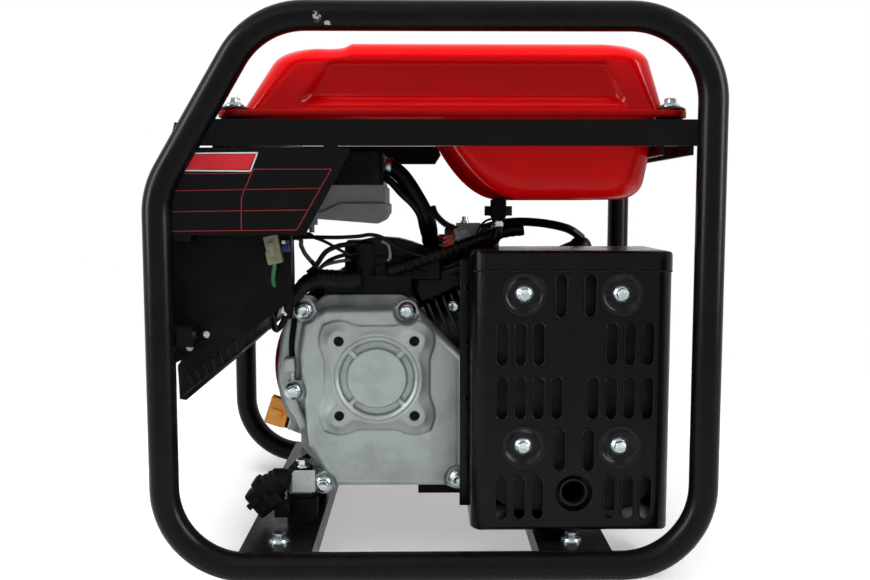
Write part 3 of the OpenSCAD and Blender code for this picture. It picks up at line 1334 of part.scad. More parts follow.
near_hoop();
far_hoop();
side_rails();
cross_bars();
base_beams();
frame_brackets();
label_plate();
rubber_feet();
base_bolts();
engine_mounts();
engine_bracket();
tank_upper();
tank_lower();
tank_grommets();
tank_bolts();
filler_neck();
fuel_gauge();
fuel_cap();
fuel_outlet();
fuel_hose();
crankcase();
crankcase_cover();
cover_bolts();
cylinder_barrel();
cylinder_head();
rocker_cover();
spark_plug();
ignition_lead();
ignition_unit();
cooling_shroud();
dipstick_rod();
dipstick_cap();
crank_bearing();
crankshaft();
stator();
rotor();
cooling_fan();
blower_housing();
recoil_cover();
recoil_pulley();
recoil_handle();
muffler();
muffler_guard();
guard_bolts();
carburettor();
choke_lever();
intake_hose();
air_cleaner_case();
air_cleaner_cover();
control_box();
control_panel();
inverter_heatsink();
outlets();
outlet_cover_left();
outlet_cover_right();
engine_switch();
breaker_button();
indicator_lights();
wiring_harness();
harness_connectors();
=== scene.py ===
import bpy
import bmesh
import math
import numpy as np
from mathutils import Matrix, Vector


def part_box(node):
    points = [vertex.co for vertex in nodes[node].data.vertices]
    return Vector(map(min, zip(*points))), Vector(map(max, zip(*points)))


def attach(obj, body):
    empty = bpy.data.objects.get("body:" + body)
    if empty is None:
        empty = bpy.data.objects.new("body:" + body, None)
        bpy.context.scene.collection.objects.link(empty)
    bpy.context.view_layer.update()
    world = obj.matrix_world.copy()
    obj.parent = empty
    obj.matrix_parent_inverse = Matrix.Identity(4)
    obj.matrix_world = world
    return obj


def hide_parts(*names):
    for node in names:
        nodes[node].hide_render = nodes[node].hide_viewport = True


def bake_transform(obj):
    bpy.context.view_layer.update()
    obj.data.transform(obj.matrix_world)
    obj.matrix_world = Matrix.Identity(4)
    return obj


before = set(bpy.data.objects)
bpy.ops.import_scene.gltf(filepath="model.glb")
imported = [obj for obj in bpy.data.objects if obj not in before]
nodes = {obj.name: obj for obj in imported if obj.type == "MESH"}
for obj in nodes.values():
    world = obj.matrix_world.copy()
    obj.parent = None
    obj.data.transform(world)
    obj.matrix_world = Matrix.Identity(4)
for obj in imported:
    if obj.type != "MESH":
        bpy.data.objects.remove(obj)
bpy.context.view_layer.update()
print("frame loaded:", len(nodes), "nodes")


# Screen colour 0..255 to linear: power of 2.4 above the short straight start
def linear(r, g, b):
    c = np.array([r, g, b]) / 255.0
    out = np.where(c <= 0.04045, c / 12.92, ((c + 0.055) / 1.055) ** 2.4)
    return tuple(float(v) for v in out) + (1.0,)


# Link from one node's output to another node's input
def wire(tree, a, aOut, b, bIn):
    tree.links.new(a.outputs[aOut], b.inputs[bIn])


def addNode(tree, kind, values=None, **props):
    n = tree.nodes.new(kind)
    for k, v in props.items():
        setattr(n, k, v)
    for k, v in (values or {}).items():
        n.inputs[k].default_value = v
    return n


def startMaterial(name):
    m = bpy.data.materials.new(name)
    m.use_nodes = True
    tree = m.node_tree
    tree.nodes.clear()
    out = addNode(tree, "ShaderNodeOutputMaterial")
    skin = addNode(tree, "ShaderNodeBsdfPrincipled")
    wire(tree, skin, "BSDF", out, "Surface")
    place = addNode(tree, "ShaderNodeTexCoord")
    return m, tree, skin, place


def noiseAt(tree, place, scale, detail=3.0, rough=0.55):
    n = addNode(tree, "ShaderNodeTexNoise", {"Scale": scale, "Detail": detail, "Roughness": rough})
    wire(tree, place, "Object", n, "Vector")
    return n


def rangeOf(tree, source, out, low, high, toLow, toHigh):
    n = addNode(tree, "ShaderNodeMapRange", {
        "From Min": low, "From Max": high, "To Min": toLow, "To Max": toHigh
    })
    n.clamp = True
    wire(tree, source, out, n, "Value")
    return n


# Mix of two colours, each given as a colour or as (node, output)
def mixColours(tree, factor, factorOut, a, b):
    n = addNode(tree, "ShaderNodeMix", data_type="RGBA")
    tree.links.new(factor.outputs[factorOut], n.inputs[0])
    for value, socket in ((a, 6), (b, 7)):
        if isinstance(value[0], float):
            n.inputs[socket].default_value = value
        else:
            tree.links.new(value[0].outputs[value[1]], n.inputs[socket])
    return n


# Edge mask for lighter edges, wear and painted highlight: rises where the rounded normal leaves the flat
# one
def edgeMask(tree, radius, low, high):
    soft = addNode(tree, "ShaderNodeBevel", {"Radius": radius}, samples=4)
    geo = addNode(tree, "ShaderNodeNewGeometry")
    dot = addNode(tree, "ShaderNodeVectorMath", operation="DOT_PRODUCT")
    wire(tree, soft, "Normal", dot, 0)
    wire(tree, geo, "Normal", dot, 1)
    return soft, rangeOf(tree, dot, "Value", 1.0 - low, 1.0 - high, 0.0, 1.0)


# Round patches at fixed places, with a ragged edge: distance plus noise, cut sharply
def chipMask(tree, place, spots):
    ragged = noiseAt(tree, place, 260.0, 4.0, 0.65)
    last = None
    for x, y, z, size in spots:
        away = addNode(tree, "ShaderNodeVectorMath", operation="DISTANCE")
        wire(tree, place, "Object", away, 0)
        away.inputs[1].default_value = (x, y, z)
        spread = addNode(tree, "ShaderNodeMath", {1: size * 1.6}, operation="MULTIPLY")
        wire(tree, ragged, "Fac", spread, 0)
        total = addNode(tree, "ShaderNodeMath", operation="ADD")
        wire(tree, away, "Value", total, 0)
        wire(tree, spread, "Value", total, 1)
        cut = rangeOf(tree, total, "Value", size * 1.55, size * 1.65, 1.0, 0.0)
        if last is None:
            last = cut
        else:
            both = addNode(tree, "ShaderNodeMath", operation="MAXIMUM")
            wire(tree, last, "Result" if last.bl_idname == "ShaderNodeMapRange" else "Value", both, 0)
            wire(tree, cut, "Result", both, 1)
            last = both
    return last, "Result" if last.bl_idname == "ShaderNodeMapRange" else "Value"


# One finish: base colour with a soft second tint, uneven gloss, fine bump and rounded edges, and
# where asked lighter edges (wear, and on the fins and the heat sink a painted highlight) and chips at set
# places; colours are given as 0..255
def finish(
    name, colour, rough, tint, metal=0.0, coat=0.0, spec=0.5, tintScale=60.0, tintRange=(0.45, 0.7),
    roughSwing=0.06, bump=0.0, bumpScale=1500.0, soften=0.0006, edgeWearAndHighlight=None, edgeWearAndHighlightRange=(0.03, 0.3),
    chips=None, chipTone=None, sheen=0.0, ior=1.5
):
    m, tree, skin, place = startMaterial(name)
    skin.inputs["Metallic"].default_value = metal
    skin.inputs["Specular IOR Level"].default_value = spec
    skin.inputs["IOR"].default_value = ior
    skin.inputs["Coat Weight"].default_value = coat
    skin.inputs["Coat Roughness"].default_value = 0.08
    skin.inputs["Sheen Weight"].default_value = sheen
    broad = noiseAt(tree, place, tintScale, 4.0, 0.6)
    mask = rangeOf(tree, broad, "Fac", tintRange[0], tintRange[1], 0.0, 1.0)
    shade = mixColours(tree, mask, "Result", linear(*colour), linear(*tint))
    soft, edge = edgeMask(tree, soften, *edgeWearAndHighlightRange)
    # Edges lightened: wear on most finishes, a painted highlight on the fins and the heat sink
    if edgeWearAndHighlight:
        patchy = noiseAt(tree, place, 380.0, 3.0)
        cut = rangeOf(tree, patchy, "Fac", 0.45, 0.65, 0.0, 1.0)
        both = addNode(tree, "ShaderNodeMath", operation="MULTIPLY")
        wire(tree, edge, "Result", both, 0)
        wire(tree, cut, "Result", both, 1)
        shade = mixColours(tree, both, "Value", (shade, 2), linear(*edgeWearAndHighlight))
    if chips:
        chip, chipOut = chipMask(tree, place, chips)
        shade = mixColours(tree, chip, chipOut, (shade, 2), linear(*chipTone))
    tree.links.new(shade.outputs[2], skin.inputs["Base Color"])
    uneven = noiseAt(tree, place, tintScale * 2.3, 3.0, 0.6)
    gloss = rangeOf(tree, uneven, "Fac", 0.3, 0.7, max(0.02, rough - roughSwing), rough + roughSwing)
    wire(tree, gloss, "Result", skin, "Roughness")
    if bump > 0:
        fine = noiseAt(tree, place, bumpScale, 2.0, 0.5)
        b = addNode(tree, "ShaderNodeBump", {"Strength": bump, "Distance": 0.0005})
        wire(tree, fine, "Fac", b, "Height")
        wire(tree, soft, "Normal", b, "Normal")
        wire(tree, b, "Normal", skin, "Normal")
    else:
        wire(tree, soft, "Normal", skin, "Normal")
    return m


frameBlack = finish(
    "satinFrameBlack", (9, 9, 10), 0.3, ior=1.16, tint=(13, 13, 14), tintScale=35, bump=0.08,
    bumpScale=1400, edgeWearAndHighlight=(58, 58, 60), edgeWearAndHighlightRange=(0.1, 0.5)
)
hoopBlack = finish(
    "satinHoopBlack", (9, 9, 10), 0.27, ior=1.18, tint=(13, 13, 14), tintScale=22, bump=0.07,
    bumpScale=1200, chipTone=(196, 194, 186),
    chips=[
        (-0.0955, -0.2005, 0.4935, 0.0058), (-0.0875, -0.2035, 0.4865, 0.004),
        (-0.09, -0.204, 0.4845, 0.0026)
    ]
)
guardBlack = finish(
    "stoveBlack", (9, 9, 9), 0.25, ior=1.19, tint=(13, 13, 13), tintScale=24, bump=0.1, bumpScale=1100,
    soften=0.0012, edgeWearAndHighlight=(56, 56, 57), edgeWearAndHighlightRange=(0.12, 0.6)
)
tankRed = finish(
    "glossTankRed", (214, 6, 12), 0.11, ior=1.18, tint=(206, 4, 10), tintScale=9, bump=0.015,
    bumpScale=260, soften=0.0008, roughSwing=0.03
)
# The tank's red paint, rougher and a little darker; the darker tone is painted shade for the underside and
# the seam lip
shadedTankRed = finish(
    "lowerTankRedPaintedShade", (204, 8, 12), 0.24, ior=1.19, tint=(186, 4, 9), tintScale=9, bump=0.015,
    bumpScale=260, soften=0.0008, roughSwing=0.03
)
housingRed = finish(
    "darkHousingRed", (150, 8, 12), 0.32, ior=1.2, tint=(92, 6, 10), tintScale=14, bump=0.05,
    bumpScale=500
)
castAluminium = finish(
    "castAluminium", (158, 166, 165), 0.46, metal=0.55, spec=0.3, tint=(142, 150, 149), tintScale=40,
    bump=0.4, bumpScale=1700, soften=0.002, edgeWearAndHighlight=(182, 186, 186), edgeWearAndHighlightRange=(0.06, 0.5)
)
# The cover's cast aluminium made darker as painted shade, for the crankcase, carburettor and canister plate
# under the tank
shadedCastAluminium = finish(
    "castAluminiumPaintedShade", (124, 130, 129), 0.5, metal=0.55, spec=0.25, tint=(92, 97, 96), tintScale=32,
    bump=0.45, bumpScale=1500, soften=0.0018, edgeWearAndHighlight=(150, 154, 153), edgeWearAndHighlightRange=(0.06, 0.5)
)
# Dark fins; their light edges are a painted highlight
finAluminium = finish(
    "darkFinsPaintedEdgeHighlight", (58, 60, 60), 0.5, metal=0.5, spec=0.3, tint=(34, 35, 36), tintScale=60, bump=0.3,
    bumpScale=1600, soften=0.0006, edgeWearAndHighlight=(150, 152, 150), edgeWearAndHighlightRange=(0.15, 0.6)
)
zincPlate = finish(
    "brightZinc", (170, 180, 183), 0.26, metal=1.0, tint=(158, 170, 172), tintScale=140, bump=0.05,
    bumpScale=2500, soften=0.0005, edgeWearAndHighlight=(226, 230, 230)
)
# Dark steel for the muffler, cup washers and hook; on the muffler the darkness is partly its own dark paint
# and partly painted shade behind the guard's slots
steelDark = finish(
    "darkSteel", (34, 33, 32), 0.5, metal=0.6, ior=1.2, tint=(22, 21, 20), tintScale=30, bump=0.15,
    bumpScale=900
)
# The lower tank's reflection fades out where it is seen almost edge on, as against a dark floor
under = shadedTankRed.node_tree
grazing = rangeOf(under, addNode(under, "ShaderNodeLayerWeight"), "Facing", 0.55, 0.86, 0.5, 0.0)
wire(under, grazing, "Result", next(
    n for n in under.nodes if n.type == "BSDF_PRINCIPLED"
), "Specular IOR Level")
guardGloss = finish(
    "lacqueredBlack", (8, 8, 9), 0.26, ior=1.24, tint=(11, 11, 12), tintScale=50, bump=0.05,
    bumpScale=1400, roughSwing=0.04
)
platePale = finish(
    "palePlate", (214, 219, 214), 0.42, spec=0.5, tint=(196, 202, 198), tintScale=120, bump=0.15,
    bumpScale=1200
)
# Black threads inside the pad's holes: painted shade
holeShadeBlack = finish(
    "threadsPaintedShade", (12, 12, 12), 0.5, ior=1.15, tint=(18, 18, 18), tintScale=60, bump=0.1, bumpScale=900
)
steelBright = finish(
    "machinedSteel", (150, 152, 154), 0.3, metal=1.0, tint=(130, 132, 135), tintScale=90, bump=0.06,
    bumpScale=1700
)
rubberBlack = finish(
    "mattRubber", (17, 17, 17), 0.62, ior=1.12, tint=(26, 26, 25), tintScale=70, bump=0.25, bumpScale=2200
)
hoseBlack = finish(
    "hoseRubber", (10, 10, 11), 0.36, ior=1.18, tint=(25, 25, 26), tintScale=60, bump=0.12, bumpScale=1600
)
plasticBlack = finish(
    "mouldedBlack", (10, 10, 11), 0.4, ior=1.16, tint=(23, 23, 24), tintScale=50, bump=0.25,
    bumpScale=2600, soften=0.0007
)
boxBlack = finish(
    "powderedBoxBlack", (11, 11, 12), 0.44, ior=1.14, tint=(22, 22, 23), tintScale=28, bump=0.22,
    bumpScale=1900, soften=0.0009, edgeWearAndHighlight=(44, 44, 45), edgeWearAndHighlightRange=(0.15, 0.6)
)
plasticGrey = finish(
    "mouldedGrey", (126, 128, 128), 0.5, ior=1.2, tint=(114, 116, 116), tintScale=40, bump=0.3,
    bumpScale=2300, soften=0.0009
)
plasticOrange = finish(
    "mouldedOrange", (255, 176, 62), 0.34, spec=0.4, tint=(255, 160, 46), tintScale=70, bump=0.12,
    bumpScale=2000, soften=0.0008
)
# Cream plastic of the connector, darker than its own tone as painted shade
plasticCream = finish(
    "mouldedCream", (136, 134, 110), 0.45, spec=0.3, tint=(118, 116, 94), tintScale=90, bump=0.15,
    bumpScale=2200
)
plasticRed = finish(
    "mouldedRed", (186, 16, 18), 0.35, spec=0.35, tint=(170, 12, 15), tintScale=60, bump=0.12,
    bumpScale=2000
)
plasticBlue = finish(
    "mouldedBlue", (22, 30, 84), 0.4, spec=0.3, tint=(17, 25, 70), tintScale=80, bump=0.1, bumpScale=2000
)
pulleyCream = finish(
    "pulleyNylon", (214, 208, 190), 0.45, spec=0.35, tint=(200, 194, 176), tintScale=60, bump=0.12,
    bumpScale=2000
)
tagGrey = finish("tagGrey", (150, 154, 154), 0.5, spec=0.3, tint=(138, 142, 142), tintScale=60, bump=0.1)
# Black anodised heat sink; its lighter edges are a painted highlight
anodBlack = finish(
    "blackAnodised", (20, 20, 21), 0.4, metal=0.2, ior=1.18, tint=(27, 27, 28), tintScale=60, bump=0.2,
    bumpScale=1800, edgeWearAndHighlight=(74, 74, 76), edgeWearAndHighlightRange=(0.1, 0.5)
)
copperCoil = finish(
    "copperWindings", (150, 84, 46), 0.35, metal=0.9, tint=(110, 58, 30), tintScale=900, bump=0.6,
    bumpScale=1200
)
ceramicWhite = finish("glazedCeramic", (220, 218, 208), 0.2, coat=0.4, tint=(204, 202, 192), tintScale=50)
lensGreen = finish("tintedLens", (60, 156, 82), 0.15, coat=0.5, tint=(50, 136, 70), tintScale=300)
wireGreen = finish("greenWire", (32, 110, 70), 0.45, spec=0.3, tint=(26, 92, 58), tintScale=200, bump=0.08)
wireGrey = finish("greyWire", (84, 86, 86), 0.45, spec=0.3, tint=(66, 68, 68), tintScale=200, bump=0.08)
ropeWeave = finish(
    "braidedRope", (34, 34, 35), 0.7, spec=0.2, tint=(120, 20, 22), tintScale=420, tintRange=(0.52, 0.58),
    bump=0.8, bumpScale=900, sheen=0.3
)
labelRed = finish("printedRed", (206, 36, 44), 0.4, spec=0.3, tint=(196, 30, 38), tintScale=30, bump=0.04)
labelWhite = finish(
    "printedWhite", (226, 226, 228), 0.42, spec=0.3, tint=(214, 214, 217), tintScale=30, bump=0.04
)
labelLine = finish(
    "printedLine", (150, 26, 32), 0.45, spec=0.25, tint=(132, 20, 27), tintScale=40, bump=0.04
)
print("finishes made")

finishOf = {
    hoopBlack: ["near_hoop", "far_hoop"],
    frameBlack: [
        "side_rails", "cross_bars", "base_beams", "frame_brackets", "engine_bracket", "label_plate"
    ],
    guardBlack: ["muffler_guard", "cooling_shroud", "recoil_cover", "rocker_cover"],
    tankRed: ["tank_upper", "tank_lower"],
    housingRed: ["blower_housing"],
    castAluminium: ["crankcase_cover", "cylinder_head"],
    shadedCastAluminium: ["crankcase", "carburettor"],
    finAluminium: ["cylinder_barrel"],
    zincPlate: ["base_bolts", "tank_bolts", "cover_bolts", "guard_bolts", "choke_lever", "filler_neck"],
    steelDark: ["muffler"],
    steelBright: ["crankshaft", "crank_bearing", "rotor"],
    rubberBlack: ["rubber_feet", "tank_grommets", "engine_mounts", "fuel_outlet"],
    hoseBlack: ["fuel_hose", "intake_hose", "ignition_lead", "wiring_harness"],
    plasticBlack: [
        "fuel_cap", "fuel_gauge", "ignition_unit", "recoil_handle", "air_cleaner_case", "control_panel",
        "outlets", "outlet_cover_left", "outlet_cover_right", "breaker_button", "cooling_fan"
    ],
    boxBlack: ["control_box"],
    plasticGrey: ["air_cleaner_cover"],
    plasticOrange: ["dipstick_rod", "dipstick_cap"],
    pulleyCream: ["recoil_pulley"],
    plasticCream: ["harness_connectors"],
    plasticRed: ["engine_switch"],
    anodBlack: ["inverter_heatsink"],
    copperCoil: ["stator"],
    ceramicWhite: ["spark_plug"],
    lensGreen: ["indicator_lights"],
}
for material, names in finishOf.items():
    for n in names:
        mesh = nodes[n].data
        mesh.materials.clear()
        mesh.materials.append(material)
print("finishes laid on the CAD nodes")


# Cubic rise from 0 at a to 1 at b
def rise(x, a, b):
    t = np.clip((np.asarray(x, float) - a) / (b - a), 0.0, 1.0)
    return t * t * (3.0 - 2.0 * t)


# A mesh put into the scene with its material, the body it rides on and the nodes it replaces
def placeMesh(name, mesh, material, body="frame", replaces=()):
    mesh.materials.append(material)
    o = bpy.data.objects.new(name, mesh)
    bpy.context.scene.collection.objects.link(o)
    if body:
        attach(o, body)
    if replaces:
        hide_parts(*replaces)
    return o


# Smooth shading, apart from edges sharper than the given angle
def shadeSmooth(mesh, sharp):
    mesh.polygons.foreach_set("use_smooth", np.ones(len(mesh.polygons), bool))
    mesh.set_sharp_from_angle(angle=math.radians(sharp))


# A piece from one shape or a list of them, each as points and faces; doubles are merged, and
# closed shapes turned to face outwards
def addPiece(name, shapes, material, body="frame", sharp=35.0, replaces=()):
    points, faces = together(shapes if isinstance(shapes, list) else [shapes])
    mesh = bpy.data.meshes.new(name + "Mesh")
    mesh.from_pydata(points, [], [quad for block in faces for quad in block.tolist()])
    bm = bmesh.new()
    bm.from_mesh(mesh)
    bmesh.ops.remove_doubles(bm, verts=bm.verts, dist=1e-6)
    bmesh.ops.recalc_face_normals(bm, faces=bm.faces)
    bm.to_mesh(mesh)
    bm.free()
    shadeSmooth(mesh, sharp)
    return placeMesh(name, mesh, material, body, replaces)


# Quads of a grid of m rings with n points each; wrapped round, and along where asked
def gridQuads(m, n, along=False):
    i, j = np.meshgrid(np.arange(m if along else m - 1), np.arange(n), indexing="ij")
    a, b = i * n + j, i * n + (j + 1) % n
    c, d = ((i + 1) % m) * n + (j + 1) % n, ((i + 1) % m) * n + j
    return np.stack([a, b, c, d], -1).reshape(-1, 4)


# Rings (m, n, 3) skinned into a closed solid, with a fan to the middle of each end
def skinned(rings, along=False):
    rings = np.asarray(rings, float)
    m, n = rings.shape[:2]
    points, faces = rings.reshape(-1, 3), [gridQuads(m, n, along)]
    if not along:
        points = np.vstack([points, rings[0].mean(0), rings[-1].mean(0)])
        j = np.arange(n)
        k = (j + 1) % n
        faces.append(np.stack([k, j, np.full(n, m * n)], -1))
        faces.append(np.stack([(m - 1) * n + j, (m - 1) * n + k, np.full(n, m * n + 1)], -1))
    return points, faces


# Several solids as one mesh: points stacked, face numbers moved on by what is below them
def together(parts):
    points, faces, base = [], [], 0
    for p, f in parts:
        points.append(np.asarray(p, float).reshape(-1, 3))
        faces += [block + base for block in f]
        base += len(points[-1])
    return np.vstack(points), faces


# Smooth curve through given points: cubic pieces whose slopes are half the step between neighbours
def through(points, count):
    p = np.asarray(points, float)
    m = np.gradient(p, axis=0)
    t = np.linspace(0, len(p) - 1, count)
    i = np.minimum(t.astype(int), len(p) - 2)
    f = (t - i)[:, None]
    return (
        (2 * f ** 3 - 3 * f ** 2 + 1) * p[i] + (f ** 3 - 2 * f ** 2 + f) * m[i]
        + (3 * f ** 2 - 2 * f ** 3) * p[i + 1] + (f ** 3 - f ** 2) * m[i + 1]
    )


# Circle carried along a path: at each point two directions square to the tangent, the first square
# also to the direction in which the path turns least
def tubeRings(path, radius, sides):
    p = np.asarray(path, float)
    t = np.gradient(p, axis=0)
    t /= np.linalg.norm(t, axis=1)[:, None] + 1e-12
    ref = np.linalg.svd(t)[2][-1]
    side = np.cross(t, ref)
    side /= np.linalg.norm(side, axis=1)[:, None] + 1e-12
    up = np.cross(side, t)
    a = roundAngles(sides)
    r = np.broadcast_to(np.asarray(radius, float), (len(p),))[:, None, None]
    return p[:, None] + r * (
        np.cos(a)[None, :, None] * side[:, None] + np.sin(a)[None, :, None] * up[:, None]
    )


# Round tube along a smooth curve through the points
def tube(points, radius, count, sides):
    return skinned(tubeRings(through(points, count), radius, sides))


# An axis made one long
def unit(axis):
    k = np.asarray(axis, float)
    return k / np.linalg.norm(k)


# Even steps of angle round a full turn
def roundAngles(sides):
    return np.linspace(0, 2 * np.pi, sides, endpoint=False)


# Points of a circle of radius one that lies square to an axis
def circleAbout(k, sides):
    ref = np.array([0.0, 0.0, 1.0]) if abs(k[2]) < 0.9 else np.array([1.0, 0.0, 0.0])
    u = unit(np.cross(ref, k))
    a = roundAngles(sides)
    return np.cos(a)[:, None] * u + np.sin(a)[:, None] * np.cross(k, u)


# Surface of revolution: rows of (distance along the axis, radius) turned about it
def turned(profile, at, axis, sides):
    profile = np.asarray(profile, float)
    k = unit(axis)
    circle = circleAbout(k, sides)
    rings = np.asarray(at, float) + profile[:, 0, None, None] * k + profile[:, 1, None, None] * circle[None]
    return skinned(rings)


# Loops of rounded rectangles: one row per set of sides (xa, xb, ya, yb) and corner radius
def roundedLoops(xa, xb, ya, yb, r, nx, ny, nc):
    xa, xb, ya, yb, r = np.broadcast_arrays(*[
        np.atleast_1d(np.asarray(v, float)) for v in (xa, xb, ya, yb, r)
    ])
    a = np.linspace(0, np.pi / 2, nc + 1)
    parts = []
    corners = [(xb - r, yb - r), (xa + r, yb - r), (xa + r, ya + r), (xb - r, ya + r)]
    arcs = []
    for q, (cx, cy) in enumerate(corners):
        way = a + q * np.pi / 2
        arcs.append(np.stack([
            cx[:, None] + r[:, None] * np.cos(way), cy[:, None] + r[:, None] * np.sin(way)
        ], -1))
    for q in range(4):
        n = nx if q % 2 == 0 else ny
        f = (np.arange(1, n) / n)[None, :, None]
        parts += [arcs[q], arcs[q][:, -1:] * (1 - f) + arcs[(q + 1) % 4][:, :1] * f]
    return np.concatenate(parts, axis=1)


# Flat loops (m, n, 2) lifted to one height each
def lifted(loops, heights):
    return np.concatenate([loops, np.broadcast_to(heights[:, None, None], loops.shape[:2] + (1,))], -1)


# Points (n, 2) in X and Z, all at one Y
def atY(p, y):
    return np.stack([p[:, 0], np.full(len(p), y), p[:, 1]], -1)


# Closed block with rounded edges between two corners; r is the radius of all its edges
def softBlock(low, high, r, turn=None):
    low, high = np.asarray(low, float), np.asarray(high, float)
    a = np.linspace(0, np.pi / 2, 5)
    inset = np.concatenate([r * (1 - np.sin(a)), r * (1 - np.sin(a[::-1]))])
    z = np.concatenate([low[2] + r * (1 - np.cos(a)), high[2] - r * (1 - np.cos(a[::-1]))])
    loops = roundedLoops(
        low[0] + inset, high[0] - inset, low[1] + inset, high[1] - inset,
        np.maximum(r * 1.02 - inset, r * 0.04), 2, 2, 4
    )
    points, faces = skinned(lifted(loops, z))
    if turn is not None:
        middle = (low + high) / 2
        points = (points - middle) @ np.asarray(turn).T + middle
    return points, faces


# Rotation about the Y axis
def turnY(degrees):
    c, s = math.cos(math.radians(degrees)), math.sin(math.radians(degrees))
    return np.array([[c, 0, s], [0, 1, 0], [-s, 0, c]])


# Hexagon head with a washer face, a domed top and a shallow dish, along an axis
def hexHead(at, axis, across, height, flange, flangeT, turn):
    k, at = unit(axis), np.asarray(at, float)
    circle = circleAbout(k, 48)
    away = np.mod(roundAngles(48) + math.radians(turn) + np.pi / 6, np.pi / 3) - np.pi / 6
    hexR = across / 2 / np.cos(away)
    rows = [
        (0.0, 1.0), (height * 0.8, 1.0), (height * 0.93, 0.94), (height, 0.8), (height * 0.94, 0.55),
        (height * 0.88, 0.3)
    ]
    rings = []
    for h, s in rows:
        r = np.minimum(hexR * s, across / 2 * (1.1 if s > 0.97 else 1.06 * s)) if s < 1 else hexR
        rings.append(at + (h + flangeT) * k + r[:, None] * circle)
    washer = [
        (0, flange / 2 * 0.98), (flangeT * 0.5, flange / 2), (flangeT, flange / 2 * 0.96),
        (flangeT * 2.2, across * 0.58)
    ]
    return together([skinned(rings), turned(washer, at, k, 40)])


print("shape tools ready")

# Fuel tank
tank = {
    "x0": -0.1675, "x1": 0.2005, "half": 0.17, "seam": 0.4195, "rise": 0.061, "stepDrop": 0.0036,
    "stepAt": (-0.081, -0.07), "panelDepth": 0.009, "lowerHalf": 0.166, "shallow": 0.01, "deep": 0.074
}


# Pressed half as rings of rounded rectangles: each side leans in evenly, then turns over an elliptical
# shoulder; each side is (lean, shoulder width, height at which its shoulder starts). The last rings
# shrink to the middle of the flat top
def pressedHalf(x0, x1, half, left, right, across, corner, count):
    topCount = 14
    h = np.sin(np.linspace(0, np.pi / 2, count))

    def inset(lean, width, start):
        t = np.clip((h - start) / (1 - start), 0, 1)
        return lean * h + width * (1 - np.sqrt(1 - t ** 2 * 0.9999))

    l, r, c = inset(*left), inset(*right), inset(*across)
    loops = roundedLoops(x0 + l, x1 - r, -half + c, half - c, corner[0] + corner[1] * h, 170, 36, 12)
    s = np.linspace(1, 0.03, topCount)[1:, None, None]
    middle = loops[-1].mean(0)
    flat = np.concatenate([loops, middle + (loops[-1] - middle) * s])
    rows = np.concatenate([h, np.ones(topCount - 1)])[:, None]
    shrink = np.concatenate([np.ones(count), s[:, 0, 0]])[:, None]
    return flat, np.broadcast_to(rows, flat.shape[:2]), np.broadcast_to(shrink, flat.shape[:2])


flat, h, shrink = pressedHalf(
    tank["x0"], tank["x1"], tank["half"], (0.034, 0.018, 0.78), (0.0145, 0.017, 0.76),
    (0.005, 0.024, 0.7), (0.018, 0.014), 54
)
x = flat[..., 0]
z = h * (tank["rise"] - tank["stepDrop"] * (1 - rise(x, *tank["stepAt"]))) + 0.0016 * (1 - shrink ** 2)
z = z - 0.0009 * np.exp(-((x + 0.091) / 0.009) ** 2) * h ** 4
# Pressed panel in both long sides: steps in under the shoulder, runs straight down, then slopes out
# to its foot
side = np.abs(flat[..., 1])
fromLeft = x - (-0.121 + 0.029 * z / 0.042)
fromRight = (0.169 - 0.0178 * z / 0.042) - x
pressed = (
    rise(fromLeft, -0.002, 0.0065) * rise(fromRight, -0.002, 0.0065) * rise(z, 0.0005, 0.0165)
    * (1 - rise(z, 0.04, 0.0452)) * rise(side, 0.14, 0.15)
)
flat = flat.copy()
flat[..., 1] -= np.sign(flat[..., 1]) * tank["panelDepth"] * pressed * (1 - 0.45 * rise(z, 0.014, 0.042))
upperRings = np.concatenate([flat, tank["seam"] + z[..., None]], -1)
floorRing = upperRings[:1] * [1, 1, 0] + [0, 0, tank["seam"] - 0.0005]
addPiece(
    "tankTopShell", skinned(np.concatenate([floorRing, upperRings])), tankRed, sharp=60,
    replaces=("tank_upper",)
)

# Underside: shallow at the filler's end, then falling away quickly and easing into the deep floor
flat, h = pressedHalf(
    -0.16, 0.1965, tank["lowerHalf"], (0.006, 0.022, 0.6), (0.01, 0.016, 0.8), (0.006, 0.02, 0.72),
    (0.02, 0.014), 40
)[:2]
x = flat[..., 0]
fall = 1 - (1 - np.clip((x - 0.006) / 0.079, 0, 1)) ** 2.2
z = -0.001 - h * (tank["shallow"] + (tank["deep"] - tank["shallow"]) * fall)
lowerRings = np.concatenate([flat, tank["seam"] + z[..., None]], -1)
roof = lowerRings[:1] * [1, 1, 0] + [0, 0, tank["seam"] - 0.0004]
addPiece(
    "tankBottomShell", skinned(np.concatenate([roof, lowerRings])), shadedTankRed, sharp=60,
    replaces=("tank_lower",)
)

# Welded seam flange with a rolled lip that hangs below it
lip = {"x0": -0.186, "x1": 0.218, "half": 0.178, "corner": 0.016}
inset = np.array([0.03, 0.012, 0.0016, 0.0004, 0.0, 0.0, 0.0005, 0.0015, 0.0024, 0.003, 0.012, 0.03])
height = tank["seam"] + np.array([
    0.001, 0.0011, 0.0011, 0.0008, 0.0001, -0.0043, -0.0049, -0.005, -0.0045, -0.0023, -0.0021, -0.0021
])
loops = roundedLoops(
    lip["x0"] + inset, lip["x1"] - inset, -lip["half"] + inset, lip["half"] - inset,
    np.maximum(lip["corner"] - inset, 0.002), 60, 30, 8
)
addPiece("tankSeamLip", skinned(lifted(loops, height), along=True), shadedTankRed, sharp=40)

